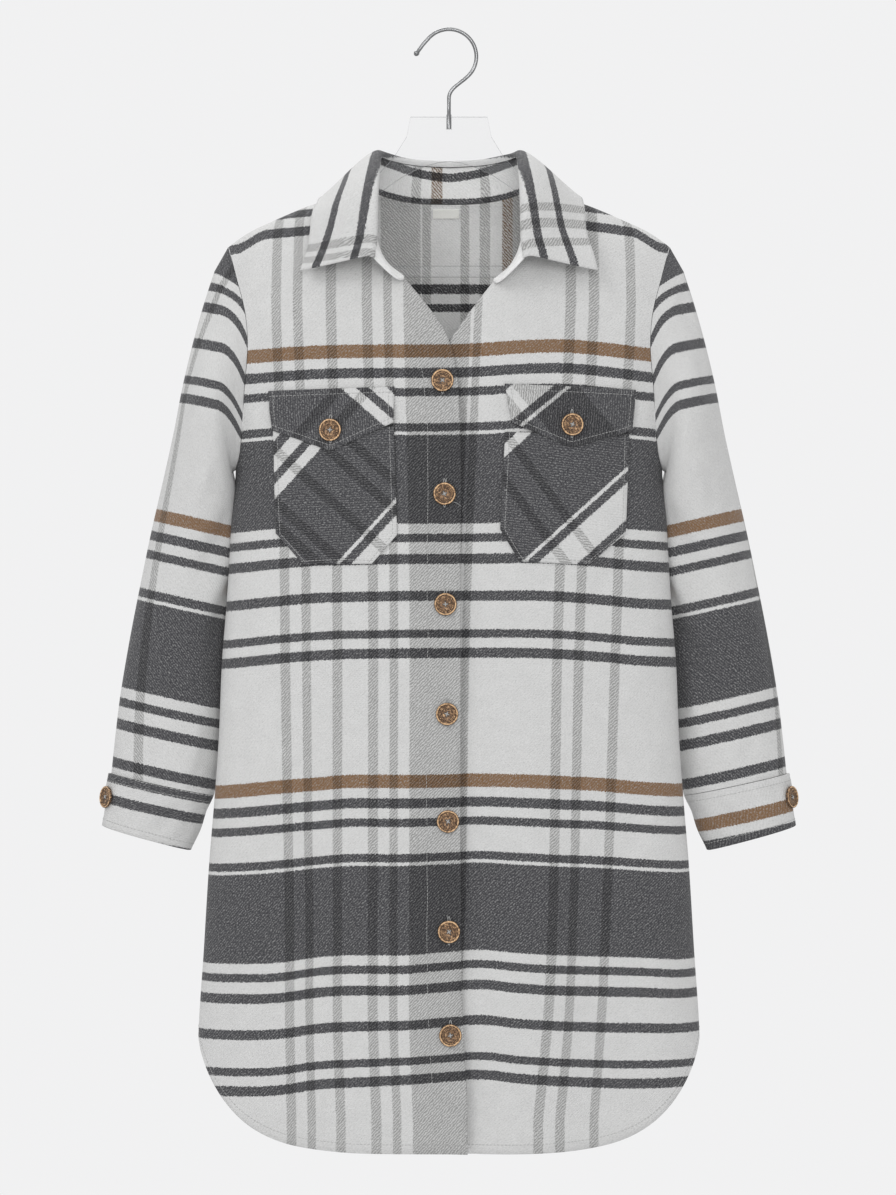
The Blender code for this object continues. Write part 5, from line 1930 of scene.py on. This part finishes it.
@functools.lru_cache(maxsize=None)
def button_finish():
    """Carved bronze brown: dark with patina in the hollows, mottled on the face, pale on the rim from wear and a
    painted highlight, and painted shade on the outer edge.
    """
    tone = colours()
    graph = Graph("bronze_button")
    ring = graph.node("ShaderNodeAttribute", attribute_name=RING).outputs["Fac"]
    grain = graph.noise(graph.object_place(), 480.0, 4.0, 0.8)
    # Patina and wear, with a painted highlight on the rim and painted shade on the outer edge
    wear = graph.math("MULTIPLY_ADD", graph.math("SUBTRACT", grain, 0.5), 4.2, graph.ramp(ring, BUTTON_WEAR_AND_PAINTED_LIGHT))
    worn = graph.node("ShaderNodeClamp", {0: wear}).outputs[0]
    deep = tuple(0.22 * part for part in tone.button)
    colour = graph.ramp(worn, [(0.0, deep), (0.45, tuple(tone.button)), (1.0, tuple(tone.rim))])
    rough = graph.math("MULTIPLY_ADD", grain, 0.3, 0.26)
    graph.surface(colour=colour, metal=0.35, rough=rough, normal=graph.bump(grain, 0.7, 0.0005))
    return graph.material


@functools.lru_cache(maxsize=None)
def hole_finish():
    graph = Graph("button_hole_shade")
    spots = graph.noise(graph.object_place(), 700.0)
    graph.surface(colour=graph.ramp(spots, [(0.3, (0.018, 0.012, 0.008)), (0.7, (0.05, 0.032, 0.02))]), rough=0.7)
    return graph.material


def placed(part, centre, axis, spin):
    """A part's points turned so that its +Z faces along an axis at a centre."""
    points, faces = part
    axis = unit(np.asarray(axis, float))
    aside = unit(np.cross(axis, (0.0, 0.0, 1.0)))
    upward = np.cross(aside, axis)
    x = points[:, :1] * math.cos(spin) - points[:, 1:2] * math.sin(spin)
    y = points[:, :1] * math.sin(spin) + points[:, 1:2] * math.cos(spin)
    return np.asarray(centre) + x * aside + y * upward + points[:, 2:] * axis, faces


def button_places():
    """Node name, centre and direction of each button."""
    places = []
    for number, (x, height) in enumerate(FRONT_BUTTONS):
        centre, axis = on_front(np.array(x), np.array(height), np.array(0.0))
        places.append((f"button_front_{number + 1}", centre, axis))
    for side, (x, height) in FLAP_BUTTONS.items():
        centre, axis = on_front(np.array(x), np.array(height), flap_lift(np.array(height)) + wall_thickness())
        places.append((f"button_flap_{side}", centre, axis))
    turn = CUFF_BUTTON_TURN + np.array([-STEP_ACROSS, 0.0, STEP_ACROSS])
    row = np.array(CUFF_TOP) + CUFF_BUTTON_SHARE * (np.array(CUFF_BOTTOM) - np.array(CUFF_TOP))
    ring = section_ring(row, turn, np.full(3, wall_thickness() + CUFF_EXTRA + JOIN))
    along = np.array([CUFF_BOTTOM[1] - CUFF_TOP[1], 0.0, CUFF_BOTTOM[0] - CUFF_TOP[0]])
    axis = unit(np.cross(ring[2] - ring[0], along))
    if axis[0] < 0:
        axis = -axis
    for side, name in SIDES:
        flip = np.array([side, 1.0, 1.0])
        places.append((f"button_cuff_{name}", ring[1] * flip, axis * flip))
    return places


class ButtonsOperator(bpy.types.Operator):
    """Make the buttons with their beaded rings, holes and thread, and the buttonholes under them"""

    bl_idname = "shacket.make_buttons"
    bl_label = "Make buttons"

    def execute(self, context):
        disc, holes, threads = button_parts()
        ring = np.hypot(disc[0][:, 0], disc[0][:, 1]) * MM / sizes().button_radius
        hole_parts = []
        thread_parts = []
        for number, (node, centre, axis) in enumerate(button_places()):
            spin = BUTTON_SPIN * number
            start = np.asarray(centre) + np.asarray(axis) * BUTTON_LIFT
            points, faces = placed(disc, start, axis, spin)
            mesh = mesh_of(f"{node}_carved", points, faces)
            mesh.attributes.new(RING, "FLOAT", "POINT").data.foreach_set("value", ring)
            finish_piece(f"{node}_carved", mesh, button_finish(), [node], 40)
            hole_parts.append(placed(holes, start, axis, spin))
            thread_parts.append(placed(threads, start, axis, spin))
            if not node.startswith("button_cuff"):
                thread_parts.append(buttonhole(node))
        points, faces = joined(hole_parts)
        finish_piece("button_holes", mesh_of("button_holes", points, faces), hole_finish(), [])
        thread_parts += loose_threads()
        add_threads("button_threads", thread_parts)
        return {"FINISHED"}


def buttonhole(node):
    """Dense stitches round an upright buttonhole, which shows above and below its button."""
    if node.startswith("button_front"):
        x, height = FRONT_BUTTONS[int(node[-1]) - 1]
        lift = 0.0
    else:
        x, height = FLAP_BUTTONS[node.split("_")[-1]]
        lift = flap_lift(np.array(height)) + wall_thickness()
    turns = np.linspace(0, 2 * math.pi, BUTTONHOLE_POINTS + 1)[:-1]
    long_way = np.sign(np.cos(turns)) * np.abs(np.cos(turns)) ** BUTTONHOLE_POWER
    ring_x = x + BUTTONHOLE_HALF_WIDTH * np.sin(turns)
    ring_z = height + BUTTONHOLE_UP + BUTTONHOLE_HALF_LENGTH * long_way
    points = on_front(ring_x, ring_z, np.full(len(turns), float(lift) + BUTTONHOLE_LIFT))[0]
    return tube(points, np.full(len(points), BUTTONHOLE_THREAD), 6)


def loose_threads():
    """A few loose thread ends beside the buttons."""
    parts = []
    t = np.linspace(0, 1, 12)
    bow = np.sin(t * math.pi)
    for (x, height), aside, above, way_x, way_z, radius, lift in LOOSE_ENDS:
        across = x + aside + way_x * t
        up = height + above + way_z * t + bow * LOOSE_BEND
        points = on_front(across, up, lift + LOOSE_RISE * bow)[0]
        parts.append(tube(points, radius * (1 - 0.4 * t), 6))
    return parts


class LabelOperator(bpy.types.Operator):
    """Finish the bare neck label"""

    bl_idname = "shacket.finish_label"
    bl_label = "Finish label"

    def execute(self, context):
        graph = Graph("woven_label")
        lines = graph.node("ShaderNodeSeparateXYZ", {0: graph.object_place()})
        across, upward = (
            graph.math("SINE", graph.math("MULTIPLY", lines.outputs[way], 2 * math.pi / pitch))
            for way, pitch in LABEL_WEAVE
        )
        weave = graph.math("MULTIPLY", across, upward)
        shade = graph.even(graph.math("MULTIPLY_ADD", weave, 0.05, 0.95))
        colour = graph.mix("MULTIPLY", 1.0, tuple(colours().label), shade)
        graph.surface(colour=colour, normal=graph.bump(weave, 0.3, 0.0002), rough=0.6)
        give_finish("neck_label", graph.material)
        return {"FINISHED"}


def give_finish(node, finish):
    """Gives a solid that stays in view its finish."""
    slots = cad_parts[node].material_slots
    if not slots:
        raise RuntimeError(f"{node} has no material slot")
    for slot in slots:
        slot.material = finish


def hook_path():
    """Middle line and radius of the hook: foot in the plate, stem, bend, round and tip."""
    rings = [(0.0, FERRULE_BOTTOM, FERRULE_RADIUS), (0.0, FERRULE_TOP, FERRULE_RADIUS)]
    rings.append((0.0, FERRULE_TOP + FERRULE_STEP, HOOK_WIRE))
    turns = np.linspace(HOOK_START_TURN, HOOK_END_TURN, HOOK_POINTS)
    bow = [(HOOK_RADIUS * math.cos(a), HOOK_CENTRE + HOOK_RADIUS * math.sin(a)) for a in turns]
    foot = (0.0, HOOK_STEM_TOP)
    low = (0.0, HOOK_STEM_TOP + BEND_LOW)
    high_x = bow[0][0] + BEND_HIGH * math.sin(HOOK_START_TURN)
    high = (high_x, bow[0][1] - BEND_HIGH * math.cos(HOOK_START_TURN))
    for t in np.arange(BEND_POINTS) / BEND_POINTS:
        weights = ((1 - t) ** 3, 3 * t * (1 - t) ** 2, 3 * t * t * (1 - t), t**3)
        x, z = (sum(w * corner[k] for w, corner in zip(weights, (foot, low, high, bow[0]))) for k in (0, 1))
        rings.append((x, z, HOOK_WIRE))
    rings += [(x, z, HOOK_WIRE) for x, z in bow + list(HOOK_TIP)]
    heading = unit(np.subtract(HOOK_TIP[1], HOOK_TIP[0]))
    for step, radius in HOOK_BALL:
        x, z = np.array(HOOK_TIP[1]) + heading * step
        rings.append((x, z, radius))
    return np.array(rings)


class HangerOperator(bpy.types.Operator):
    """Finish the clear hanger and make its polished hook"""

    bl_idname = "shacket.make_hanger"
    bl_label = "Make hanger"

    def execute(self, context):
        graph = Graph("clear_plastic")
        flow = graph.noise(graph.object_place(), 14.0)
        colour = graph.ramp(flow, [(0.3, (0.42, 0.43, 0.44)), (0.7, (0.48, 0.49, 0.50))])
        flat = graph.node("ShaderNodeNewGeometry").outputs["True Normal"]
        facing = graph.node("ShaderNodeLayerWeight", {"Blend": 0.35, "Normal": flat}).outputs["Facing"]
        alpha = graph.math("MULTIPLY_ADD", graph.math("POWER", facing, 1.6), 0.75, 0.05)
        graph.surface(colour=colour, rough=0.3, shine=0.1, normal=flat, alpha=alpha)
        give_finish("hanger_body", graph.material)

        graph = Graph("polished_wire")
        streak = graph.noise(graph.object_place(), 90.0)
        colour = graph.ramp(streak, [(0.3, (0.17, 0.172, 0.175)), (0.7, (0.24, 0.243, 0.247))])
        graph.surface(colour=colour, metal=1.0, rough=graph.math("MULTIPLY_ADD", streak, 0.04, 0.28))
        rings = hook_path()
        path = np.column_stack([rings[:, 0], np.zeros(len(rings)), rings[:, 1]])
        points, faces = tube(path, rings[:, 2], HOOK_SIDES)
        mesh = mesh_of("hanger_hook_wire", points, faces)
        finish_piece("hanger_hook_wire", mesh, graph.material, ["hanger_hook"], 50)
        return {"FINISHED"}


class StageOperator(bpy.types.Operator):
    """Make the pale floor, the soft lights and the camera"""

    bl_idname = "shacket.make_stage"
    bl_label = "Make stage"

    def execute(self, context):
        scene = context.scene
        scene.view_settings.view_transform = "Standard"
        scene.view_settings.look = "None"
        tone = tuple(colours().studio)
        mesh = bpy.data.meshes.new("studio_floor")
        corners = ((-1, -1), (1, -1), (1, 1), (-1, 1))
        mesh.from_pydata([(x * FLOOR_HALF, y * FLOOR_HALF, FLOOR_HEIGHT) for x, y in corners], [], [(0, 1, 2, 3)])
        graph = Graph("studio_floor")
        graph.surface(colour=(*tone, 1.0), rough=0.9)
        mesh.materials.append(graph.material)
        ground = bpy.data.objects.new("studio_floor", mesh)
        scene.collection.objects.link(ground)

        world = bpy.data.worlds.new("studio_air")
        world.use_nodes = True
        world.node_tree.nodes["Background"].inputs["Color"].default_value = (*tone, 1.0)
        world.node_tree.nodes["Background"].inputs["Strength"].default_value = 1.0
        scene.world = world

        for name, place, size, power in LIGHTS:
            light = bpy.data.lights.new(name, "AREA")
            light.energy = power
            light.size = size
            lamp = bpy.data.objects.new(name, light)
            lamp.location = place
            lamp.rotation_euler = (Vector(LIGHT_AIM) - Vector(place)).to_track_quat("-Z", "Y").to_euler()
            scene.collection.objects.link(lamp)

        lens = bpy.data.cameras.new("photo_camera")
        distance = sizes().camera_distance
        lens.sensor_width = SENSOR_WIDTH
        lens.lens = SENSOR_WIDTH * distance / SEEN_HEIGHT
        lens.clip_end = 50.0
        camera = bpy.data.objects.new("photo_camera", lens)
        camera.location = (CAMERA_X, -distance, CAMERA_HEIGHT)
        camera.rotation_euler = (math.radians(90), 0.0, 0.0)
        scene.collection.objects.link(camera)
        scene.camera = camera
        return {"FINISHED"}


class ShacketPanel(bpy.types.Panel):
    """Lists the pieces in the order in which they are made"""

    bl_idname = "VIEW3D_PT_shacket"
    bl_label = "Plaid Shacket"
    bl_space_type = "VIEW_3D"
    bl_region_type = "UI"
    bl_category = "Shacket"

    def draw(self, context):
        for group in (sizes(), colours()):
            for key in group.bl_rna.properties.keys():
                if key not in ("rna_type", "name"):
                    self.layout.prop(group, key)
        for operator in OPERATORS:
            self.layout.operator(operator.bl_idname)


OPERATORS = (
    FrontsOperator,
    BackOperator,
    SleevesOperator,
    CuffsOperator,
    CollarOperator,
    PocketsOperator,
    SewingOperator,
    ButtonsOperator,
    LabelOperator,
    HangerOperator,
    StageOperator,
)
CLASSES = (ShacketSizes, ShacketColours, *OPERATORS, ShacketPanel)


def register():
    for made in CLASSES:
        bpy.utils.register_class(made)
    bpy.types.Scene.shacket_sizes = bpy.props.PointerProperty(type=ShacketSizes)
    bpy.types.Scene.shacket_colours = bpy.props.PointerProperty(type=ShacketColours)


def unregister():
    del bpy.types.Scene.shacket_colours
    del bpy.types.Scene.shacket_sizes
    for made in reversed(CLASSES):
        bpy.utils.unregister_class(made)


def main():
    register()
    bpy.ops.shacket.make_stage()
    bpy.ops.shacket.make_fronts()
    bpy.ops.shacket.make_back()
    bpy.ops.shacket.make_sleeves()
    bpy.ops.shacket.make_cuffs()
    bpy.ops.shacket.make_collar()
    bpy.ops.shacket.make_pockets()
    bpy.ops.shacket.make_sewing()
    bpy.ops.shacket.make_buttons()
    bpy.ops.shacket.finish_label()
    bpy.ops.shacket.make_hanger()


if __name__ == "__main__":
    main()
